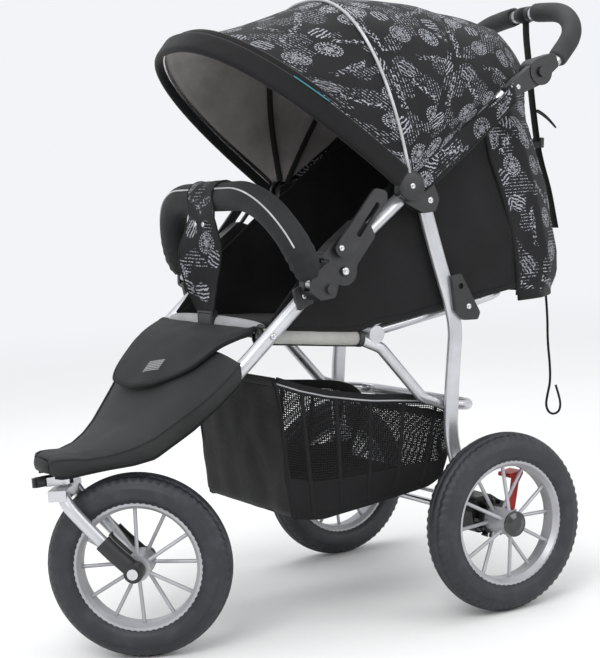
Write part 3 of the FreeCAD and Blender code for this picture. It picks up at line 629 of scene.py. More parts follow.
def spaced(points, count):
    """count points evenly spaced along a polyline of (y, z) pairs."""
    lengths = [0.0]
    for a, b in zip(points, points[1:]):
        lengths.append(lengths[-1] + math.dist(a, b))
    out = []
    for i in range(count):
        want = lengths[-1] * i / (count - 1)
        k = max(j for j in range(len(lengths) - 1) if lengths[j] <= want + 1e-9)
        t = (want - lengths[k]) / (lengths[k + 1] - lengths[k])
        out.append(tuple(p + (q - p) * t for p, q in zip(points[k], points[k + 1])))
    return out


# ---- Dressed pieces ----

SIDES = ((1, "left"), (-1, "right"))
MATS = {}


def dress(obj, look, body=None, nodes=()):
    """Gives a piece its material, and where they are given its body and the nodes it stands for."""
    obj.data.materials.clear()
    obj.data.materials.append(MATS[look])
    if body:
        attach(obj, body)
    if nodes:
        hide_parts(*nodes)
    return obj


def strip(name, path, section, look, body=None, up=None):
    return dress(sweep(name, path, section, up), look, body)


def cut_sheet():
    """Does nothing: it only defines a helper for the length of a run of points, which is never called."""
    def run(points):
        return sum((b - a).length for a, b in zip(points, points[1:]))


def cloth_piece(name, rows, thickness, look, body, nodes=(), offset=0.0, levels=0):
    """A sheet of cloth through rows of points, thickened and dressed."""
    piece = grid(name, rows)
    cut_sheet()
    thicken(piece, thickness, offset)
    if levels:
        smoother(piece, levels)
    return dress(piece, look, body, nodes)


# ---- Materials ----

def make_materials():
    return {
        "frame": painted("frame_silver", (0.56, 0.57, 0.59), 0.30, 0.80),
        "steel": painted("bright_steel", (0.62, 0.62, 0.64), 0.20, 1.0, 1600.0),
        "rim": painted("rim_silver", (0.42, 0.42, 0.44), 0.40, 0.45, 1200.0),
        "black": moulded("black_plastic", (0.010, 0.010, 0.011), 0.42),
        "gloss": moulded("gloss_black", (0.006, 0.006, 0.007), 0.16, 300.0, 0.00003, 0.5),
        "red": moulded("red_plastic", (0.42, 0.012, 0.010), 0.38),
        "tyre": rubber("tyre_rubber", (0.0120, 0.0130, 0.0170)),
        "grip": foam_rubber("grip_foam", (0.012, 0.013, 0.014), 0.0034),
        "sleeve cloth": cloth("bumper_cloth", (0.017, 0.018, 0.019), 900.0, 0.05, 0.7, 0.0008),
        "black cloth": cloth("black_cloth", (0.0062, 0.0062, 0.0070), 650.0, 0.10, 0.72, 0.0030),
        "boot cloth": cloth("boot_cloth", (0.020, 0.021, 0.021), 1100.0, 0.04, 0.62, 0.0010),
        "grey cloth": cloth("grey_cloth", (0.36, 0.36, 0.37), 600.0, 0.10),
        "lining": cloth("lining_cloth", (0.30, 0.285, 0.275), 600.0, 0.10, 0.75, 0.004),
        "sleeve grey": cloth("tube_sleeve", (0.34, 0.34, 0.32), 260.0, 0.10, 0.7, 0.0006),
        "binding": webbing("black_binding", (0.007, 0.007, 0.008)),
        "piping": moulded("grey_piping", (0.36, 0.36, 0.37), 0.45),
        "teal": moulded("teal_piping", (0.02, 0.16, 0.19), 0.45),
        "print": printed_cloth("printed_cloth", (0.0095, 0.0095, 0.0115), (0.36, 0.37, 0.40)),
        "net": webbing("basket_net", (0.009, 0.009, 0.010)),
        "label": stitched_label("pale_label"),
        "floor": floor_paint("floor"),
    }


CAD_MATERIALS = {
    "silver_paint": "frame", "bright_steel": "steel", "silver_plastic": "rim", "black_plastic": "black",
    "gloss_black_plastic": "gloss", "red_plastic": "red", "tyre_rubber": "tyre", "black_foam": "grip",
    "black_fabric": "black cloth", "printed_fabric": "print", "charcoal_fabric": "boot cloth",
    "grey_fabric": "grey cloth", "black_webbing": "binding",
}


def dress_cad():
    for part in frame["record"]["subparts"]:
        node = NODES[part["node"]]
        node.data.materials.clear()
        node.data.materials.append(MATS[CAD_MATERIALS[part["material_slot"]]])


# ---- Tyres ----

TYRE_PROFILE = [
    (19.0, 107.6), (22.6, 108.6), (23.6, 111.6), (24.6, 112.4), (26.2, 116.0), (27.4, 121.0),
    (28.0, 127.0), (27.6, 133.0), (27.2, 134.2), (26.4, 134.8), (25.6, 139.0), (23.6, 143.4),
    (22.4, 145.8), (20.2, 148.4), (18.6, 149.8), (14.0, 151.9), (12.6, 151.4), (11.4, 151.8),
    (10.2, 153.4), (5.0, 154.7), (3.6, 154.8), (2.8, 153.6), (0.0, 153.6),
]
TREAD_NOTCHES = 66
NOTCH_DEPTH = 1.6
SHOULDER = (12.0, 22.5)          # how far from the middle the notches begin and end


def tyre(name, hub, axle, body, node):
    """A pneumatic tyre with a moulded bead line, sidewall step, shoulder notches and centre groove."""
    profile = TYRE_PROFILE + [(-a, r) for a, r in reversed(TYRE_PROFILE[:-1])]
    centre, axis = at(*hub), Vector(axle).normalized()
    side = axis.cross(Vector((0, 0, 1))).normalized()
    other = axis.cross(side)
    rows = []
    steps = TREAD_NOTCHES * 4
    for i in range(steps + 1):
        turn = 2 * math.pi * i / steps
        out = side * math.cos(turn) + other * math.sin(turn)
        row = []
        for a, r in profile:
            phase = i + (2 if a < 0 else 0)
            if phase % 4 in (0, 1) and SHOULDER[0] <= abs(a) <= SHOULDER[1]:
                r -= NOTCH_DEPTH
            row.append(centre + axis * (a / 1000) + out * (r / 1000))
        rows.append(row)
    dress(weld(grid(name, rows, closed=True)), "tyre", body, [node])


WHEEL_R = 155.0
REAR_WHEEL_X = 276.5
FORK_TURN = 35.5          # degrees that the front wheel is turned to the child's left
FORK_PIVOT_Y = -687.0
FORK_TRAIL = 115.0


def tyres():
    turn = math.radians(FORK_TURN)
    hub = (FORK_TRAIL * math.sin(turn), FORK_PIVOT_Y + FORK_TRAIL * math.cos(turn), WHEEL_R)
    tyre("front_tyre_tread", hub, (math.cos(turn), -math.sin(turn), 0), "front_wheel", "front_tyre")
    for side, label in SIDES:
        tyre("rear_tyre_tread_" + label, (side * REAR_WHEEL_X, 0, WHEEL_R), (1, 0, 0),
             "rear_wheel_" + label, "rear_tyre_" + label)


# ---- Canopy ----

CANOPY_PIVOT = (-112.0, 742.0)
BOW_R = 3.5
BOW_FRONT = (41.0, 404.0, 224.0)
BOW_MIDDLE = (82.0, 330.0, 220.0)
BOW_REAR = (120.0, 356.0, 216.0)
BOW_ROUNDNESS = 2.4
TAIL_ONE = (138.0, 308.0, 211.0, 2.0, (-18.0, 812.0))
TAIL_TWO = (158.0, 224.0, 206.0, 1.5, (72.0, 872.0))
CLOTH_FOOT = 22.0
GORE_COLUMNS = 120
GORE_ROWS = 22
TAIL_ROWS = 14
COVER_THICK = 0.0016          # metres


def arch(angle, reach, half, roundness, count, base=CANOPY_PIVOT, foot=0.0):
    """Points over a rounded arch from the left side to the right, starting foot above its base."""
    start = math.asin((foot / reach) ** (roundness / 2)) if foot else 0.0
    a = math.radians(angle)
    points = []
    for i in range(count):
        t = start + (math.pi - 2 * start) * i / (count - 1)
        c, s = math.cos(t), math.sin(t)
        x = half * math.copysign(abs(c) ** (2 / roundness), c)
        out = reach * max(0.0, s) ** (2 / roundness)
        points.append(at(x, base[0] - out * math.cos(a), base[1] + out * math.sin(a)))
    return points


def over(section, gap, count=GORE_COLUMNS):
    angle, reach, half, roundness, base = section
    return arch(angle, reach + gap, half + gap, roundness, count, base, CLOTH_FOOT)


def lerp_rows(first, last, share):
    return [a.lerp(b, share) for a, b in zip(first, last)]


def gore_rows(first, last, bulge, rows=GORE_ROWS, seed=0.0):
    """Cloth stretched from one arch to the next: it dips between them and puckers near the seams."""
    centre = at(0, CANOPY_PIVOT[0] + 60, CANOPY_PIVOT[1] + 40)
    out = []
    for i in range(rows):
        share = i / (rows - 1)
        row = lerp_rows(first, last, share)
        hump = math.sin(math.pi * share)
        moved = []
        for j, p in enumerate(row):
            crown = math.sin(math.pi * j / (len(row) - 1))
            away = (p - centre).normalized()
            pucker = noise.noise(Vector((p.x * 26 + seed, p.y * 8, p.z * 8))) * 0.0022
            ripple = noise.noise(Vector((p.x * 9 + seed, p.y * 9, p.z * 9 + 7))) * 0.004
            edge = 1 - abs(2 * share - 1) ** 4
            moved.append(p + away * (bulge / 1000 * hump * crown + (pucker + ripple) * edge * crown))
        out.append(moved)
    return out


def canopy():
    """The printed cover in three panels, with its trim. Gives back the cover's rear edge."""
    front, middle, rear = (bow + (BOW_ROUNDNESS, CANOPY_PIVOT) for bow in (BOW_FRONT, BOW_MIDDLE, BOW_REAR))
    arcs = [over(section, BOW_R + 1.6) for section in (front, middle, rear, TAIL_ONE, TAIL_TWO)]
    panels = []
    for index, (part, bulge) in enumerate((("front", -7.0), ("middle", 9.0))):
        rows = gore_rows(arcs[index], arcs[index + 1], bulge, seed=3.1 * index)
        panels.append(cloth_piece("canopy_%s_panel" % part, rows, COVER_THICK, "print", None,
                                  ["canopy_gore_" + part]))
    tail = gore_rows(arcs[2], arcs[3], 5.0, TAIL_ROWS, 9.0)
    tail += gore_rows(arcs[3], arcs[4], 3.0, TAIL_ROWS, 12.0)[1:]
    cloth_piece("canopy_rear_panel", tail, COVER_THICK, "print", "upper_frame",
                ["canopy_gore_rear"])
    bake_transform(panels[0])
    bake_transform(panels[1])
    canopy_trim(front, middle, rear)
    canopy_skirts()
    canopy_hubs()
    return tail[-1]


TEAL_SPAN = (0.135, 0.205)     # the stretch of the front seam that has a teal edge
BINDING_TURN = 49.0            # degrees below level that the front binding's width points to


def canopy_trim(front, middle, rear):
    """Front binding with its teal line, piping over the middle bow, grey lining and bow sleeves."""
    lip, round_bow, inner = over(front, BOW_R + 4.2), over(front, 3.0), over(front, -2.0)
    turn = math.radians(BINDING_TURN)
    forward = Vector((0, -math.cos(turn), -math.sin(turn)))
    rows = []
    for row, push in ((lip, -19.0), (lip, -8.0), (lip, 6.0), (lip, 14.0), (round_bow, 19.0),
                      (inner, 17.0), (inner, 4.0), (inner, -14.0), (inner, -34.0)):
        rows.append([p + forward * (push / 1000) for p in row])
    cloth_piece("canopy_front_binding", rows, 0.0022, "black cloth", "canopy_front",
                levels=1)
    seam = [p + forward * -0.0185 for p in over(front, BOW_R + 5.4)]
    first, last = (round(share * len(seam)) for share in TEAL_SPAN)
    strip("canopy_teal_piping", seam[first:last], circle(1.1, 8), "teal", "canopy_front")
    strip("canopy_middle_piping", over(middle, BOW_R + 4.4), circle(2.7, 10), "piping", "canopy_middle")
    lining("front", front, middle, -7.0, ("canopy_front", "canopy_middle"), 0.02)
    lining("middle", middle, rear, 4.0, ("canopy_middle", "upper_frame"))
    lining("rear", rear, TAIL_ONE, 3.0, ("upper_frame",))
    for name, bow, body in (("middle", middle, "canopy_middle"), ("rear", rear, "upper_frame")):
        strip("bow_sleeve_" + name, over(bow, -3.0), tape(15.0, 9.0, 3.5), "black cloth", body,
              Vector((0, 0, 1)))


def lining(part, first, last, bulge, bodies, begin=0.0):
    """Grey cloth inside the cover, from a share begin of the way between two arches."""
    first_row, last_row = over(first, -1.5), over(last, -1.5)
    rows = gore_rows(lerp_rows(first_row, last_row, begin), last_row, bulge, 16, 21.0)
    body = None if len(bodies) > 1 else bodies[0]
    sheet = cloth_piece("canopy_%s_lining" % part, rows, 0.0010, "lining", body)
    if len(bodies) > 1:
        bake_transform(sheet)


SKIRT_X = 219.0
SKIRT_TOP = [(-101, 761), (-50, 794), (-2, 827), (45, 854), (92, 880), (124, 906)]
SKIRT_HEM = [(-78, 733), (-40, 755), (0, 781), (42, 810), (88, 842), (132, 876)]


def canopy_skirts():
    """The canopy's lower sides, which lie over the frame tubes behind the pivots."""
    lines = list(zip(spaced(SKIRT_TOP, 30), spaced(SKIRT_HEM, 30)))
    for side, label in SIDES:
        rows = []
        for i in range(9):
            t = i / 8
            row = []
            for j, ((ya, za), (yb, zb)) in enumerate(lines):
                x = SKIRT_X - 4 * j / 29 - 3 * t * t
                ripple = 1.6 * t * noise.noise(Vector((j * 0.22, t, side * 6.0)))
                row.append(at(side * (x + ripple), ya + (yb - ya) * t, za + (zb - za) * t))
            rows.append(row)
        cloth_piece("canopy_skirt_" + label, rows, COVER_THICK, "print", "upper_frame")
        strip("canopy_skirt_hem_" + label, rows[-1], tape(5.0, 3.0, 1.2), "black cloth", "upper_frame",
              Vector((side, 0, 0)))


HUB_X = 228.0
HUB_PROFILE = [(-9.0, 21.0), (-8.0, 25.0), (-1.0, 25.5), (0.6, 24.0), (1.6, 19.0), (2.0, 12.0), (2.1, 0.01)]


def canopy_hubs():
    """Domed covers over the pivots where the bows and the cloth come together."""
    for side, label in SIDES:
        centre, outward = at(side * HUB_X, *CANOPY_PIVOT), Vector((side, 0, 0))
        dress(lathe("canopy_hub_" + label, HUB_PROFILE, centre, outward, 48), "black", "upper_frame")


# ---- Bumper bar ----

BUMPER_X = 233.0
BUMPER_BASE = (-322.0, 598.0)
BUMPER_TOP = (-371.0, 747.0)
BUMPER_BEND = 138.0
BUMPER_COVER_R = 25.0
BUMPER_FOOT = 0.012          # the cover starts this far above the clamp, in metres


def bumper():
    """The padded cover of the bumper bar, gathered at both ends, and the piping along its back."""
    base, top = at(BUMPER_X, *BUMPER_BASE), at(BUMPER_X, *BUMPER_TOP)
    rise = (top - base).normalized()
    other_base, other_top = at(-BUMPER_X, *BUMPER_BASE), at(-BUMPER_X, *BUMPER_TOP)
    foot = rise * BUMPER_FOOT
    path = rounded_path([base + foot, top, other_top, other_base + foot], BUMPER_BEND, 3.0)
    outward = rise.cross(Vector((1, 0, 0))).normalized()
    total = len(path) - 1

    def radius(i, turn):
        end = min(i, total - i)
        squeeze = 1 - 0.26 * math.exp(-end / 4.0)
        cuff = max(0.0, 1 - end / 26.0)
        gather = 0.9 * math.sin(turn * 9 + 0.9 * math.sin(i * 0.7)) + 1.1 * math.sin(i * 1.1)
        soft = 0.8 * noise.noise(Vector((i * 0.06, math.cos(turn) * 1.5, math.sin(turn) * 1.5)))
        return BUMPER_COVER_R * squeeze + cuff * gather + soft

    cover = soft_tube("bumper_cover", path, 44, radius, outward)
    dress(cover, "sleeve cloth", "bumper", ["bumper_foam"])
    back = [point - above * 0.0150 - side * 0.0205
            for point, (tangent, side, above) in zip(path, frames(path, outward))]
    strip("bumper_piping", back[16:total - 15], circle(1.5, 8), "piping", "bumper")


STRAP_YAW = 24.0              # degrees that the strap turns where it hangs free
STRAP_FREE = 0.42             # the share of its length at which it leaves the bumper
STRAP_DROP = [(-396.0, 722.0), (-399.0, 690.0), (-403.0, 650.0), (-404.0, 610.0), (-402.0, 575.0),
              (-399.0, 546.0)]
SNAP_PROFILE = [(0, 4.6), (1.2, 4.4), (1.9, 3.2), (1.3, 2.2), (1.5, 0.01)]


def crotch_strap():
    """The printed strap folded over the bumper bar, its snaps and the buckle at the seat."""
    y, z = BUMPER_TOP
    radius = BUMPER_COVER_R + 1.7
    wrap = [math.radians(-62 + 264 * i / 18) for i in range(19)]
    wrap = [(y + radius * math.cos(turn), z + radius * math.sin(turn)) for turn in wrap]
    path = smooth_path([at(0, *p) for p in wrap + STRAP_DROP], 5.0)
    total = len(path) - 1
    rows = []
    for i, (point, (tangent, side, above)) in enumerate(zip(path, frames(path, Vector((0, -1, 0))))):
        share = i / total
        below = min(1.0, max(0.0, (share - STRAP_FREE) / (1 - STRAP_FREE)))
        half = (92.0 + 8.0 * math.sin(math.pi * min(1.0, below * 1.6)) - 42.0 * below ** 2.2) / 2000
        free = min(1.0, max(0.0, (share - 0.45) * 4))
        yaw = math.radians(STRAP_YAW) * math.sin(math.pi * below)
        sideways = Vector((math.cos(yaw), math.sin(yaw), 0))
        row = []
        for s in across(1.0, 17):
            wave = 0.0012 * noise.noise(Vector((s * 2.0, share * 9, 2.0)))
            row.append(point + sideways * (half * s) + above * (wave - 0.0035 * s * s * free))
        rows.append(row)
    strap = grid("crotch_strap_print", rows)
    thicken(strap, 0.0026)
    smoother(strap)
    dress(strap, "print", None, ["crotch_strap"])
    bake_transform(strap)
    for label, column in (("right", 0), ("left", -1)):
        edge = [row[column] for row in rows]
        binding = strip("crotch_strap_binding_" + label, edge, tape(4.5, 3.6), "black cloth")
        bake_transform(binding)
    for number, x in ((1, -14.0), (2, 16.0)):
        snap = lathe("crotch_snap_%d" % number, SNAP_PROFILE, at(x, -402.5, 702.0), Vector((0, -1, 0.05)), 24)
        dress(snap, "steel", "bumper")
    buckle = rounded_block("crotch_buckle", at(0, -400, 536), (0.027, 0.0075, 0.019), 0.004)
    dress(buckle, "black", "lower_frame")


def rounded_block(name, centre, half, bevel, turn=None):
    """A box with rounded edges and a shallow moulded recess on its widest faces."""
    bm = bmesh.new()
    bmesh.ops.create_cube(bm, size=2.0)
    bmesh.ops.scale(bm, vec=half, verts=bm.verts)
    bmesh.ops.bevel(bm, geom=bm.edges[:], offset=bevel, segments=3, affect="EDGES", profile=0.5)
    widest = sorted(bm.faces, key=lambda f: -f.calc_area())[:2]
    for face in widest:
        bmesh.ops.inset_individual(bm, faces=[face], thickness=min(half) * 0.35, depth=-0.0008)
    if turn:
        bmesh.ops.rotate(bm, cent=(0, 0, 0), matrix=turn.to_matrix(), verts=bm.verts)
    bmesh.ops.translate(bm, vec=centre, verts=bm.verts)
    mesh = bpy.data.meshes.new(name)
    bm.to_mesh(mesh)
    bm.free()
    return link(name, mesh)


# ---- Footrest cover ----

BOOT_STATIONS = [          # y, half width, middle z, edge z, bottom z
    (-722, 30, 346, 342, 324), (-716, 42, 350, 346, 319), (-706, 50, 352, 347, 317),
    (-690, 56, 352, 346, 318), (-668, 64, 351, 343, 321), (-636, 82, 359, 347, 326),
    (-604, 107, 373, 357, 331), (-576, 129, 388, 372, 340), (-548, 150, 413, 394, 362),
    (-524, 168, 435, 413, 382), (-503, 183, 457, 431, 402), (-484, 196, 476, 450, 420),
    (-467, 206, 493, 468, 438), (-454, 211, 504, 484, 452),
]
BOOT_TOP = [          # y and the height that the flap lies on
    (-722, 346), (-706, 352), (-668, 351), (-636, 359), (-604, 373), (-576, 388), (-548, 411), (-524, 432),
    (-503, 454), (-484, 473), (-467, 491), (-454, 503), (-430, 514), (-404, 521), (-390, 523),
]
BOOT_DIP_Y = -570.0          # where the top panel sags most


def boot():
    """The footrest cover: a stretched top panel, side skirts with a welted seam, and the open flap."""
    start, length = BOOT_STATIONS[0][0], BOOT_STATIONS[-1][0] - BOOT_STATIONS[0][0]
    top_rows, skirts, seams = [], {1: [], -1: []}, {1: [], -1: []}
    for i in range(49):
        y, half, top, rim, low = between(BOOT_STATIONS, start + length * (i / 48) ** 1.15)
        row = []
        for s in across(1.0, 41):
            dip = 4.0 * (1 - s * s) * math.exp(-((y - BOOT_DIP_Y) / 50) ** 2)
            wrinkle = 1.5 * noise.noise(Vector((s * 2.2, y * 0.02, 5.0)))
            rise = (top - rim) * (1 - abs(s) ** 2.8)
            row.append(at(s * (half - 1.0), y, rim + rise + (wrinkle - dip) * (1 - abs(s) ** 8)))
        top_rows.append(row)
        for side in (1, -1):
            line = []
            for k in range(9):
                t = k / 8
                belly = 4.0 * math.sin(math.pi * t) + 1.4 * noise.noise(Vector((t * 2, y * 0.03, side * 4.0)))
                tuck = -7.0 * t ** 3
                line.append(at(side * (half + belly + tuck), y, rim - 0.5 + (low - rim + 0.5) * t))
            skirts[side].append(line)
            seams[side].append(at(side * (half + 0.6), y, rim + 0.2))
    cloth_piece("footrest_top", top_rows, 0.0028, "boot cloth", "lower_frame",
                ["footrest_cover"], -1.0, 1)
    for side, label in SIDES:
        cloth_piece("footrest_skirt_" + label, skirts[side], 0.0024, "boot cloth", "lower_frame")
        strip("footrest_welt_" + label, smooth_path(seams[side], 6.0), circle(2.2, 10), "boot cloth",
              "lower_frame")
        hem_line = [line[-1] for line in skirts[side]]
        strip("footrest_hem_" + label, smooth_path(hem_line[2:], 6.0), tape(9.0, 3.6, 1.6), "binding",
              "lower_frame", Vector((side, 0, 0)))
    boot_nose()
    boot_flap()


def boot_nose():
    """The cover's rounded front end."""
    y, half, top, rim, low = BOOT_STATIONS[0]
    rows = []
    for k in range(7):
        t = k / 6
        bulge = 7.0 * (1 - 0.6 * abs(2 * t - 1) ** 2)
        row = []
        for j in range(13):
            turn = math.pi * j / 12
            z = rim + (top - rim) * math.sin(turn) * (1 - t) - (rim - low) * t
            row.append(at(half * math.cos(turn), y - bulge * math.sin(turn) ** 0.7, z))
        rows.append(row)
    cloth_piece("footrest_nose", rows, 0.0024, "boot cloth", "lower_frame")


FLAP_EDGE = [          # x, y of the free edge, how far it stands off the cover
    (-174, -416, 8), (-166, -440, 14), (-154, -472, 22), (-141, -502, 28), (-124, -526, 31),
    (-98, -540, 28), (-50, -540, 18), (0, -530, 12), (50, -514, 9), (100, -492, 9), (130, -469, 11),
    (152, -444, 12), (168, -424, 10), (174, -412, 8),
]
FLAP_HINGE_Y = -398.0
FLAP_HALF = 173.5


def boot_flap():
    """A padded tongue laid forward over the cover, bound round its edge, with a stitched label."""
    edge_line = smooth_path([Vector(p) / 1000 for p in FLAP_EDGE], 3.0)
    rows = []
    for i in range(25):
        t = i / 24
        puff = 6.0 + 5.0 * math.sin(math.pi * min(1.0, t * 1.05)) ** 0.8
        row = []
        for x in across(FLAP_HALF, 61):
            after = next(k for k, p in enumerate(edge_line) if p.x * 1000 >= x)
            a, b = edge_line[after - 1], edge_line[after]
            free = a.lerp(b, (x / 1000 - a.x) / (b.x - a.x)) * 1000
            y = FLAP_HINGE_Y + (free.y - FLAP_HINGE_Y) * t
            drop = 22.0 * min(1.0, (FLAP_HINGE_Y - y) / 56) * (x / 205) ** 2
            wave = 1.6 * noise.noise(Vector((x * 0.02, t * 3, 1.0)))
            z = between(BOOT_TOP, y)[1] - drop + puff + wave + (free.z - 4.0) * t ** 1.4
            row.append(at(x, y, z))
        rows.append(row)
    flap = grid("footrest_flap", rows)
    thicken(flap, 0.0070)
    smoother(flap)
    dress(flap, "sleeve cloth", "lower_frame")
    left_side = [row[0] for row in rows]
    right_side = [row[-1] for row in reversed(rows)]
    edge = left_side[2:-1] + rows[-1][1:-1] + right_side[1:-2]
    strip("footrest_flap_binding", smooth_path(edge[::2], 5.0), tape(8.0, 7.2, 3.0), "binding",
          "lower_frame", Vector((0, 0, 1)))
    label = grid("footrest_label", [[p + Vector((0, 0, 0.0052)) for p in row[25:34]] for row in rows[18:22]])
    thicken(label, 0.0008)
    dress(label, "label", "lower_frame")


# ---- Seat ----

SEAT_X = 171.0
WALL_X = 178.1


def pillow(name, outline, half_x, crown, rows, channels):
    """A closed pad between two (y, z, thickness) ends: top and underside meet at its edge."""
    (y0, z0, thick0), (y1, z1, thick1) = outline
    columns = 30
    verts = []
    for face in (1, -1):
        for i in range(rows + 1):
            t = i / rows
            u = 2 * t - 1
            middle = z0 + (z1 - z0) * t
            thick = (thick0 + (thick1 - thick0) * t) / 2
            for s in across(1.0, columns + 1):
                shape = ((1 - abs(s) ** 5) * (1 - abs(u) ** 5)) ** 0.42
                sewn = 1.0
                if face > 0:
                    sewn -= 0.16 * math.exp(-(math.sin(math.pi * channels * t) / 0.22) ** 2)
                    sewn -= 0.14 * math.exp(-((abs(s) - 0.62) / 0.035) ** 2)
                pull = 1 - 0.025 * (1 - abs(u)) * (abs(s) ** 6)
                z = middle + face * (thick * shape * sewn + (crown * shape * shape if face > 0 else 0))
                verts.append(at(half_x * s * pull, y0 + (y1 - y0) * t, z))
    wide = columns + 1
    layer = (rows + 1) * wide
    faces = []
    for face in (0, 1):
        for i in range(rows):
            for j in range(columns):
                a = face * layer + i * wide + j
                quad = (a, a + 1, a + wide + 1, a + wide)
                faces.append(quad if face == 0 else quad[::-1])
    return weld(mesh_object(name, verts, faces), 0.0008)


def map_flat(obj):
    """A UV map in metres, each face mapped along the two axes that it mostly faces away from."""
    mesh = obj.data
    layer = mesh.uv_layers.get("UVMap") or mesh.uv_layers.new(name="UVMap")
    for polygon in mesh.polygons:
        n = polygon.normal
        drop = max(range(3), key=lambda k: abs(n[k]))
        keep = [k for k in range(3) if k != drop]
        for index in polygon.loop_indices:
            p = mesh.vertices[mesh.loops[index].vertex_index].co
            layer.data[index].uv = (p[keep[0]], p[keep[1]])


STUFFING_FRAMES = 20
STUFFING_PRESSURE = 4.0
STUFFING_CAP = 0.005          # metres: the furthest that a point may move
STUFFING_VOXEL = 0.005
CLOTH_STIFFNESS = 12


def stuffed(obj):
    """Fills a closed pad by cloth simulation, then keeps each point near where it began."""
    remesh = obj.modifiers.new("remesh", "REMESH")
    remesh.mode = "VOXEL"
    remesh.voxel_size = STUFFING_VOXEL
    applied(obj)
    start = [v.co.copy() for v in obj.data.vertices]
    soft = obj.modifiers.new("cloth", "CLOTH")
    settings = soft.settings
    settings.quality = 5
    settings.use_pressure = True
    settings.uniform_pressure_force = STUFFING_PRESSURE
    settings.effector_weights.gravity = 0.0
    settings.tension_stiffness = CLOTH_STIFFNESS
    settings.compression_stiffness = CLOTH_STIFFNESS
    settings.bending_stiffness = 0.6
    scene = bpy.context.scene
    scene.frame_start, scene.frame_end = 1, STUFFING_FRAMES
    soft.point_cache.frame_end = STUFFING_FRAMES
    for number in range(1, STUFFING_FRAMES + 1):
        scene.frame_set(number)
    applied(obj)
    for vertex, was in zip(obj.data.vertices, start):
        moved = vertex.co - was
        if moved.length > STUFFING_CAP:
            vertex.co = was + moved * (STUFFING_CAP / moved.length)
    scene.frame_set(1)
    applied(smoother(obj))
    for polygon in obj.data.polygons:
        polygon.use_smooth = True
    map_flat(obj)
    return obj


def seat_pads():
    """The seat and backrest cushions, the seat's welt and the grey cloth over its front edge."""
    seat = stuffed(pillow("seat_cushion", [(-390, 523, 20), (-190, 504, 22)], 152, 3.0, 26, 2))
    dress(seat, "black cloth", "seat_frame", ["seat_pad"])
    back = stuffed(pillow("backrest_cushion", [(-144, 530, 22), (134, 560, 22)], 160, 2.0, 34, 3))
    dress(back, "black cloth", "backrest", ["backrest_pad"])
    line = [at(x, -391 - 2.0 * math.cos(math.pi * x / 296), 523) for x in across(148, 31)]
    strip("seat_cushion_welt", line, circle(1.6, 8), "binding", "seat_frame")
    rows = []
    for k in range(9):
        turn = math.radians(-30 + 200 * k / 8)
        row = []
        for j, x in enumerate(across(166, 25)):
            arc = math.sin(math.pi * j / 24)
            row.append(at(x, -388 - 11 * math.cos(turn) - 3 * arc,
                          527 + 18 * math.sin(turn) * (0.55 + 0.45 * arc ** 0.5)))
        rows.append(row)
    cloth_piece("seat_front_edge", rows, 0.0020, "grey cloth", "seat_frame",
                levels=1)


WALL_LOW = [(-372, 534), (-340, 524), (-290, 515), (-205, 508), (-176, 516), (-100, 520), (20, 535),
            (138, 549)]
WALL_HIGH = [(-372, 538), (-340, 572), (-300, 612), (-262, 646), (-194, 696), (-128, 738), (-60, 784),
             (0, 824), (70, 852), (100, 790), (120, 720)]


def seat_walls():
    """Cloth sides that hang from the frame tubes, slack and puckered, with bound top edges."""
    lines = list(zip(spaced(WALL_LOW, 61), spaced(WALL_HIGH, 61)))
    for side, label in SIDES:
        rows = []
        for i in range(25):
            t = i / 24
            slack = math.sin(math.pi * t)
            row = []
            for (ya, za), (yb, zb) in lines:
                y, z = ya + (yb - ya) * t, za + (zb - za) * t
                fold = 3.0 * noise.noise(Vector((y * 0.012, z * 0.010, side * 3.0)))
                fold += 2.0 * math.sin(0.062 * (y + 0.25 * z) + side) * slack * slack
                row.append(at(side * (WALL_X - 0.6 + fold * slack), y, z))
            rows.append(row)
        wall = cloth_piece("seat_wall_" + label, rows, 0.0016, "black cloth", None,
                           ["seat_walls"] if side > 0 else [])
        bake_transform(wall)
        for part, line in (("top", rows[-1]), ("bottom", rows[0])):
            binding = strip("seat_wall_%s_binding_%s" % (part, label), line[::2], tape(9.0, 3.4, 1.4),
                            "binding", None, Vector((side, 0, 0)))
            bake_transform(binding)


# ---- Back of the seat ----

PANEL_LEVELS = [      # z, half width, side y, corner y, back y
    (530, 180, 134, 194, 264), (560, 180, 138, 213, 282), (600, 180, 136, 214, 284),
    (650, 180, 132, 206, 277), (720, 180, 112, 194, 266), (780, 180, 92, 180, 249),
    (834, 179, 84, 164, 234), (862, 163, 112, 158, 232), (904, 157, 150, 172, 236),
    (922, 154, 160, 178, 244),
]


def panel_row(level, columns=81):
    z, wide, side, corner, back = level
    half = [(wide, side), (wide + 0.5, (side + corner) / 2), (wide - 2, corner - 6), (wide - 15, corner + 14),
            (wide - 36, (corner + back) / 2 + 8), (108, back - 2), (60, back + 1), (0, back + 2)]
    full = half + [(-x, y) for x, y in reversed(half[:-1])]
    return [at(x, y, z) for x, y in spaced(full, columns)]


YOKE_HALF = 0.166          # metres: half the width of the cloth above the back panel


def rear_yoke(tail_edge, panel_edge):
    """Closes the gap between the canopy's tail and the top of the back panel."""
    tail = [Vector(p) for p in spaced([p for p in tail_edge if abs(p.x) < YOKE_HALF], len(panel_edge))]
    rows = []
    for i in range(9):
        sag = Vector((0, -0.006, -0.003)) * math.sin(math.pi * i / 8)
        rows.append([p + sag for p in lerp_rows(panel_edge, tail, i / 8)])
    cloth_piece("rear_yoke", rows, COVER_THICK, "print", "upper_frame")


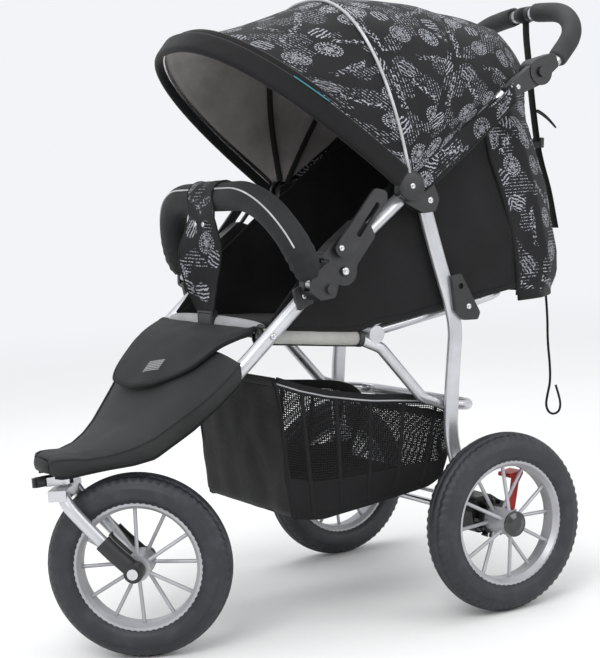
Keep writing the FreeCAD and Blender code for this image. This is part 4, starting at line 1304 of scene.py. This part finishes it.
def rear_panel(tail_edge):
    """The printed back of the seat: its sheet, its black hem and top tape, and the bindings of its sides."""
    low, high = PANEL_LEVELS[0][0], PANEL_LEVELS[-1][0]
    rows = []
    for i in range(35):
        hem = math.sin(math.pi * i / 34)
        row = []
        for p in panel_row(between(PANEL_LEVELS, low + (high - low) * i / 34)):
            ripple = noise.noise(Vector((p.x * 14, p.y * 9, p.z * 12 + 3))) * 0.0030 * hem
            away = Vector((p.x, max(0.02, p.y - at(0, 100, 0).y), 0)).normalized()
            row.append(p + away * ripple)
        rows.append(row)
    rear_yoke(tail_edge, rows[-1])
    made = [cloth_piece("rear_print_panel", rows, 0.0022, "print", "upper_frame",
                        ["rear_panel"])]
    for name, line, width in (("hem", rows[0], 20.0), ("top_tape", rows[-1], 12.0)):
        made.append(strip("rear_panel_" + name, smooth_path(line[::3], 8.0), tape(width, 4.2, 1.6),
                          "black cloth", "upper_frame", Vector((1, 0, 0))))
    for label, column in (("left", 0), ("right", -1)):
        made.append(strip("rear_panel_edge_" + label, [row[column] for row in rows], tape(10.0, 3.6, 1.4),
                          "binding", "upper_frame", Vector((1, 0, 0))))
    for piece in made:
        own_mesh(piece)


RECLINE_PATH = [(332.5, 1034), (331.5, 1000), (334.5, 940), (336.5, 884), (343.5, 800), (350.5, 760),
                (364.5, 706), (376.5, 632)]
HANDLE_MIDDLE = (333.0, 1046.0)
LOOP_R = 14.6


def recline_strap():
    """The webbing that hangs from the handle's middle: its top follows the handle as that tilts."""
    path = smooth_path([at(0, y, z) for y, z in RECLINE_PATH], 8.0)
    strap = sweep("recline_strap_webbing", path, tape(19.0, 2.4, 1.0), Vector((0, 1, 0)))
    dress(strap, "binding", None, ["recline_strap"])
    y, z = HANDLE_MIDDLE
    turns = [math.radians(a) for a in range(-170, 171, 17)]
    loop = [at(0, y + LOOP_R * math.sin(turn), z + LOOP_R * math.cos(turn)) for turn in turns]
    strip("recline_strap_loop", loop, tape(19.0, 2.2, 1.0), "binding", "handle", Vector((0, 0, 1)))
    rows = []
    for i in range(9):
        t = i / 8
        half = 8.5 * (1 - 0.82 * t)
        rows.append([at(x, 343 + 50 * t, 864 - 38 * t + 5 * math.sin(math.pi * t)) for x in across(half, 7)])
    flap = grid("recline_strap_flap", rows)
    thicken(flap, 0.0028)
    smoother(flap)
    dress(flap, "binding")
    slider = rounded_block("recline_strap_slider", at(0, 345.5, 800), (0.014, 0.0045, 0.010), 0.002,
                           Euler((math.radians(-7), 0, 0)))
    dress(slider, "black")
    for piece in (strap, flap, slider):
        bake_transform(piece)


# ---- The pull strap, a hanging cord ----

PULL_POINTS = [
    (100, 262, 526), (101, 263, 478), (99, 261, 428), (101, 262, 380), (100, 261, 348),
    (97, 255, 325), (94.5, 251.5, 305), (97, 255, 291), (102, 263, 286), (107, 273, 291),
    (109, 276, 306), (107, 273, 326), (104.5, 270, 342),
]
PULL_R = 2.5


def pull_strap():
    curve = bpy.data.curves.new("pull_strap_webbing", "CURVE")
    curve.dimensions = "3D"
    curve.resolution_u = 12
    spline = curve.splines.new("NURBS")
    spline.points.add(len(PULL_POINTS) - 1)
    for point, place in zip(spline.points, PULL_POINTS):
        point.co = (*at(*place), 1.0)
    spline.order_u = 3
    spline.use_endpoint_u = True
    line = link("pull_strap_line", curve)
    bare = bpy.data.meshes.new_from_object(line)
    route = [v.co.copy() for v in bare.vertices]
    bpy.data.objects.remove(line)
    strap = sweep("pull_strap_webbing", route, tape(2 * PULL_R, 4.2, 1.6), Vector((0.4, 1, 0)))
    dress(strap, "binding", "upper_frame", ["pull_strap"])


# ---- Basket ----

BASKET_X = 155.0
BASKET_FRONT = [(-360, 436), (-356, 390), (-353, 300), (-350, 215), (-345, 203)]
BASKET_FLOOR = [(-345, 203), (-292, 193), (-180, 202), (-70, 213), (-42, 225)]
BASKET_BACK = [(-42, 225), (-30, 262), (-22, 290), (-8, 308), (0, 322)]
BASKET_TOP = [(-360, 436), (-316, 418), (-266, 402), (-223, 392), (-178, 382), (-117, 374), (-55, 364),
              (-24, 350), (0, 322)]
CLOTH_ROWS = 15               # the rows of a side's grid, from the floor up, that are plain cloth
NET_CORD = 0.0025


def net(name, rows):
    """Netting: every edge of the grid becomes a cord."""
    piece = grid(name, rows)
    wire = piece.modifiers.new("net", "WIREFRAME")
    wire.thickness = NET_CORD
    wire.use_replace = True
    wire.use_even_offset = False
    return dress(piece, "net", "seat_frame")


def basket_cloth(name, rows, nodes=()):
    return cloth_piece(name, rows, 0.0018, "black cloth", "seat_frame", nodes)


def bow_out(x):
    """How much of a sag across the basket there is at x: none at its sides."""
    return math.cos(x / BASKET_X * math.pi / 2)


def basket_side(side, label):
    """One side: plain cloth below, net above, ribs, and tape along its edges."""
    outward = Vector((side, 0, 0))
    lines = list(zip(spaced(BASKET_FLOOR, 78), spaced(BASKET_TOP, 78)))
    rows = []
    for i in range(52):
        t = i / 51
        row = []
        for (ya, za), (yb, zb) in lines:
            y, z = ya + (yb - ya) * t, za + (zb - za) * t
            belly = 8.0 * math.sin(math.pi * t) * math.sin(math.pi * min(1, max(0, (y + 358) / 360)))
            belly += 2.0 * noise.noise(Vector((y * 0.02, z * 0.02, side * 5.0)))
            row.append(at(side * (BASKET_X - 3.0 + 0.3 * belly), y, z))
        rows.append(row)
    made = [basket_cloth("basket_side_cloth_" + label, rows[:CLOTH_ROWS + 1]),
            net("basket_net_" + label, rows[CLOTH_ROWS:])]

    def trim(name, path, section, look="binding"):
        made.append(strip("%s_%s" % (name, label), path, section, look, "seat_frame", outward))

    for k in range(5):
        rib = [row[10 + 14 * k] + outward * 0.0012 for row in rows]
        trim("basket_rib_%d" % (k + 1), rib[::3], tape(7.0, 1.8, 0.8))
    mouth, corner = (smooth_path(line[::5] + [line[-1]], 8.0) for line in (rows[-1], rows[0]))
    trim("basket_mouth_tape", mouth, tape(17.0, 3.6, 1.4))
    trim("basket_corner_tape", corner, tape(7.0, 3.6, 1.4))
    pale = [p + outward * 0.0021 + Vector((0, 0, -0.0030)) for p in mouth]
    trim("basket_mouth_line", pale, tape(2.6, 1.0, 0.4), "grey cloth")
    for name, index in (("front", 0), ("back", -1)):
        line = [row[index] for row in rows]
        trim("basket_%s_seam" % name, line[::3] + [line[-1]], tape(8.0, 3.2, 1.4))
    return made


def basket():
    """The under-seat bag: a plain front and floor, netted sides and back, ribs and a taped mouth."""
    rows = []
    for y, z in spaced(BASKET_FRONT, 22):
        sag = 7.0 * math.sin(math.pi * (z - 200) / 255)
        rows.append([at(x, y - sag * bow_out(x) + 2.5 * noise.noise(Vector((x * 0.02, z * 0.02, 1.0))), z)
                     for x in across(BASKET_X, 41)])
    made = [basket_cloth("basket_front", rows, ["basket"])]
    rows = []
    for y, z in spaced(BASKET_FLOOR, 30):
        sag = 5.0 * math.sin(math.pi * min(1.0, max(0.0, (y + 345) / 303)))
        rows.append([at(x, y, z - sag * bow_out(x)) for x in across(BASKET_X, 41)])
    made.append(basket_cloth("basket_floor", rows))
    for side, label in SIDES:
        made += basket_side(side, label)
    rows = [[at(x, y + 5.0 * bow_out(x), z) for x in across(BASKET_X, 67)]
            for y, z in spaced(BASKET_BACK, 24)]
    made.append(net("basket_net_back", rows))
    y, z = BASKET_FRONT[0]
    front = [at(x, y - 3.0, z) for x in across(BASKET_X, 21)]
    for name, line in (("back", rows[-1]), ("front", front)):
        made.append(strip("basket_mouth_tape_" + name, smooth_path(line[::2], 10.0), tape(15.0, 3.4, 1.4),
                          "binding", "seat_frame", Vector((0, 1, 0))))
    for piece in made:
        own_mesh(piece)


# ---- Handle, tube sleeves and small trim ----

GRIP_PATH = [(182, 251, 945.5), (175, 292, 985), (152, 313, 1015), (106, 328, 1037), (40, 333, 1046),
             (32, 333, 1046.6)]
GRIP_R = 18.0
SLEEVE_R = 13.0
SLEEVE_FRONT = (-392, 517.5)
SLEEVE_REAR = (-208, 492.5)
COLLAR_PROFILE = [(-5, 11.0), (-4.4, 14.2), (-3, 14.8), (3, 14.8), (4.4, 14.2), (5, 11.0)]


def handle_grips():
    """The foam grips and the plastic fitting between them."""
    for side, label in SIDES:
        route = smooth_path([at(side * x, y, z) for x, y, z in GRIP_PATH], 3.0)
        total = len(route) - 1

        def radius(i, turn):
            soft = 0.35 * noise.noise(Vector((i * 0.15, math.cos(turn) * 2, math.sin(turn) * 2)))
            return GRIP_R * (1 - 0.16 * math.exp(-min(i, total - i) / 0.8)) + soft

        grip = soft_tube("handle_grip_" + label, route, 36, radius)
        dress(grip, "grip", "handle", ["handle_foam"] if side > 0 else [])
    middle = smooth_path([at(x, 333.5, 1046.5) for x in (22, 8, -8, -22)], 3.0)
    fitting = sweep("handle_middle_fitting", middle, circle(15.0, 28),
                    scale=lambda t: 1.0 - 0.12 * abs(2 * t - 1) ** 6)
    dress(fitting, "black", "handle")


def tube_sleeves():
    """Grey woven covers on the seat tube's front runs, with black end caps."""
    def radius(i, turn):
        soft = 0.5 * noise.noise(Vector((i * 0.3, math.cos(turn), math.sin(turn))))
        return (SLEEVE_R + soft) * (1 - 0.10 * math.exp(-min(i, 40 - i) / 0.7))

    for side, label in SIDES:
        front, rear = at(side * SEAT_X, *SLEEVE_FRONT), at(side * SEAT_X, *SLEEVE_REAR)
        path = [front.lerp(rear, i / 40) for i in range(41)]
        dress(soft_tube("seat_tube_sleeve_" + label, path, 28, radius), "sleeve grey", "seat_frame")
        seam = [at(side * (SEAT_X + 4), -390 + 18 * i, 504.3 - 2.45 * i) for i in range(11)]
        strip("seat_tube_sleeve_seam_" + label, seam, circle(1.5, 8), "binding", "seat_frame")
        for name, y, z in (("front", -396, 518), ("rear", -203, 491.6)):
            collar = lathe("seat_tube_collar_%s_%s" % (name, label), COLLAR_PROFILE,
                           at(side * SEAT_X, y, z), rear - front, 32)
            dress(collar, "black", "seat_frame")


SCREWS = [          # name, place on the left side, head radius, body
    ("fold_screw_lower", (226.2, -253, 612), 6.5, "lower_frame"),
    ("fold_screw_upper", (233.4, -262, 651), 5.0, "upper_frame"),
    ("clamp_screw", (212.2, -327, 578), 4.2, "lower_frame"),
    ("canopy_screw", (230.4, *CANOPY_PIVOT), 5.0, "upper_frame"),
    ("leg_screw", (214.2, -67, 715), 5.6, "upper_frame"),
    ("bracket_screw", (205.3, 6, 525), 5.2, "rear_legs"),
    ("handle_screw", (211.3, 138, 899), 4.6, "upper_frame"),
    ("seat_pivot_screw", (210.3, -388, 518.5), 5.2, "seat_frame"),
]


def screws():
    """Domed screw heads with a sunk middle, on both sides."""
    for side, label in SIDES:
        for name, (x, y, z), radius, body in SCREWS:
            profile = [(-1.0, radius), (0.4, radius), (1.0, radius * 0.9), (1.5, radius * 0.66),
                       (1.7, radius * 0.42), (0.7, radius * 0.36), (0.6, 0.01)]
            head = lathe("%s_%s" % (name, label), profile, at(side * x, y, z), Vector((side, 0, 0)), 28)
            dress(head, "steel", body)


# ---- Stage ----

FLOOR_SIZE = 80.0
FLOOR_POINTS = 17


def make_stage():
    """A wide pale floor."""
    places = across(FLOOR_SIZE / 2, FLOOR_POINTS)
    floor = grid("studio_floor", [[Vector((x, y, 0)) for x in places] for y in places])
    floor.data.materials.append(MATS["floor"])


def main():
    make_camera()
    make_world()
    MATS.update(make_materials())
    dress_cad()
    pull_strap()
    make_stage()
    make_lights()
    tyres()
    tail_edge = canopy()
    bumper()
    crotch_strap()
    boot()
    seat_pads()
    seat_walls()
    rear_panel(tail_edge)
    recline_strap()
    basket()
    handle_grips()
    tube_sleeves()
    screws()


main()
bpy.context.view_layer.update()
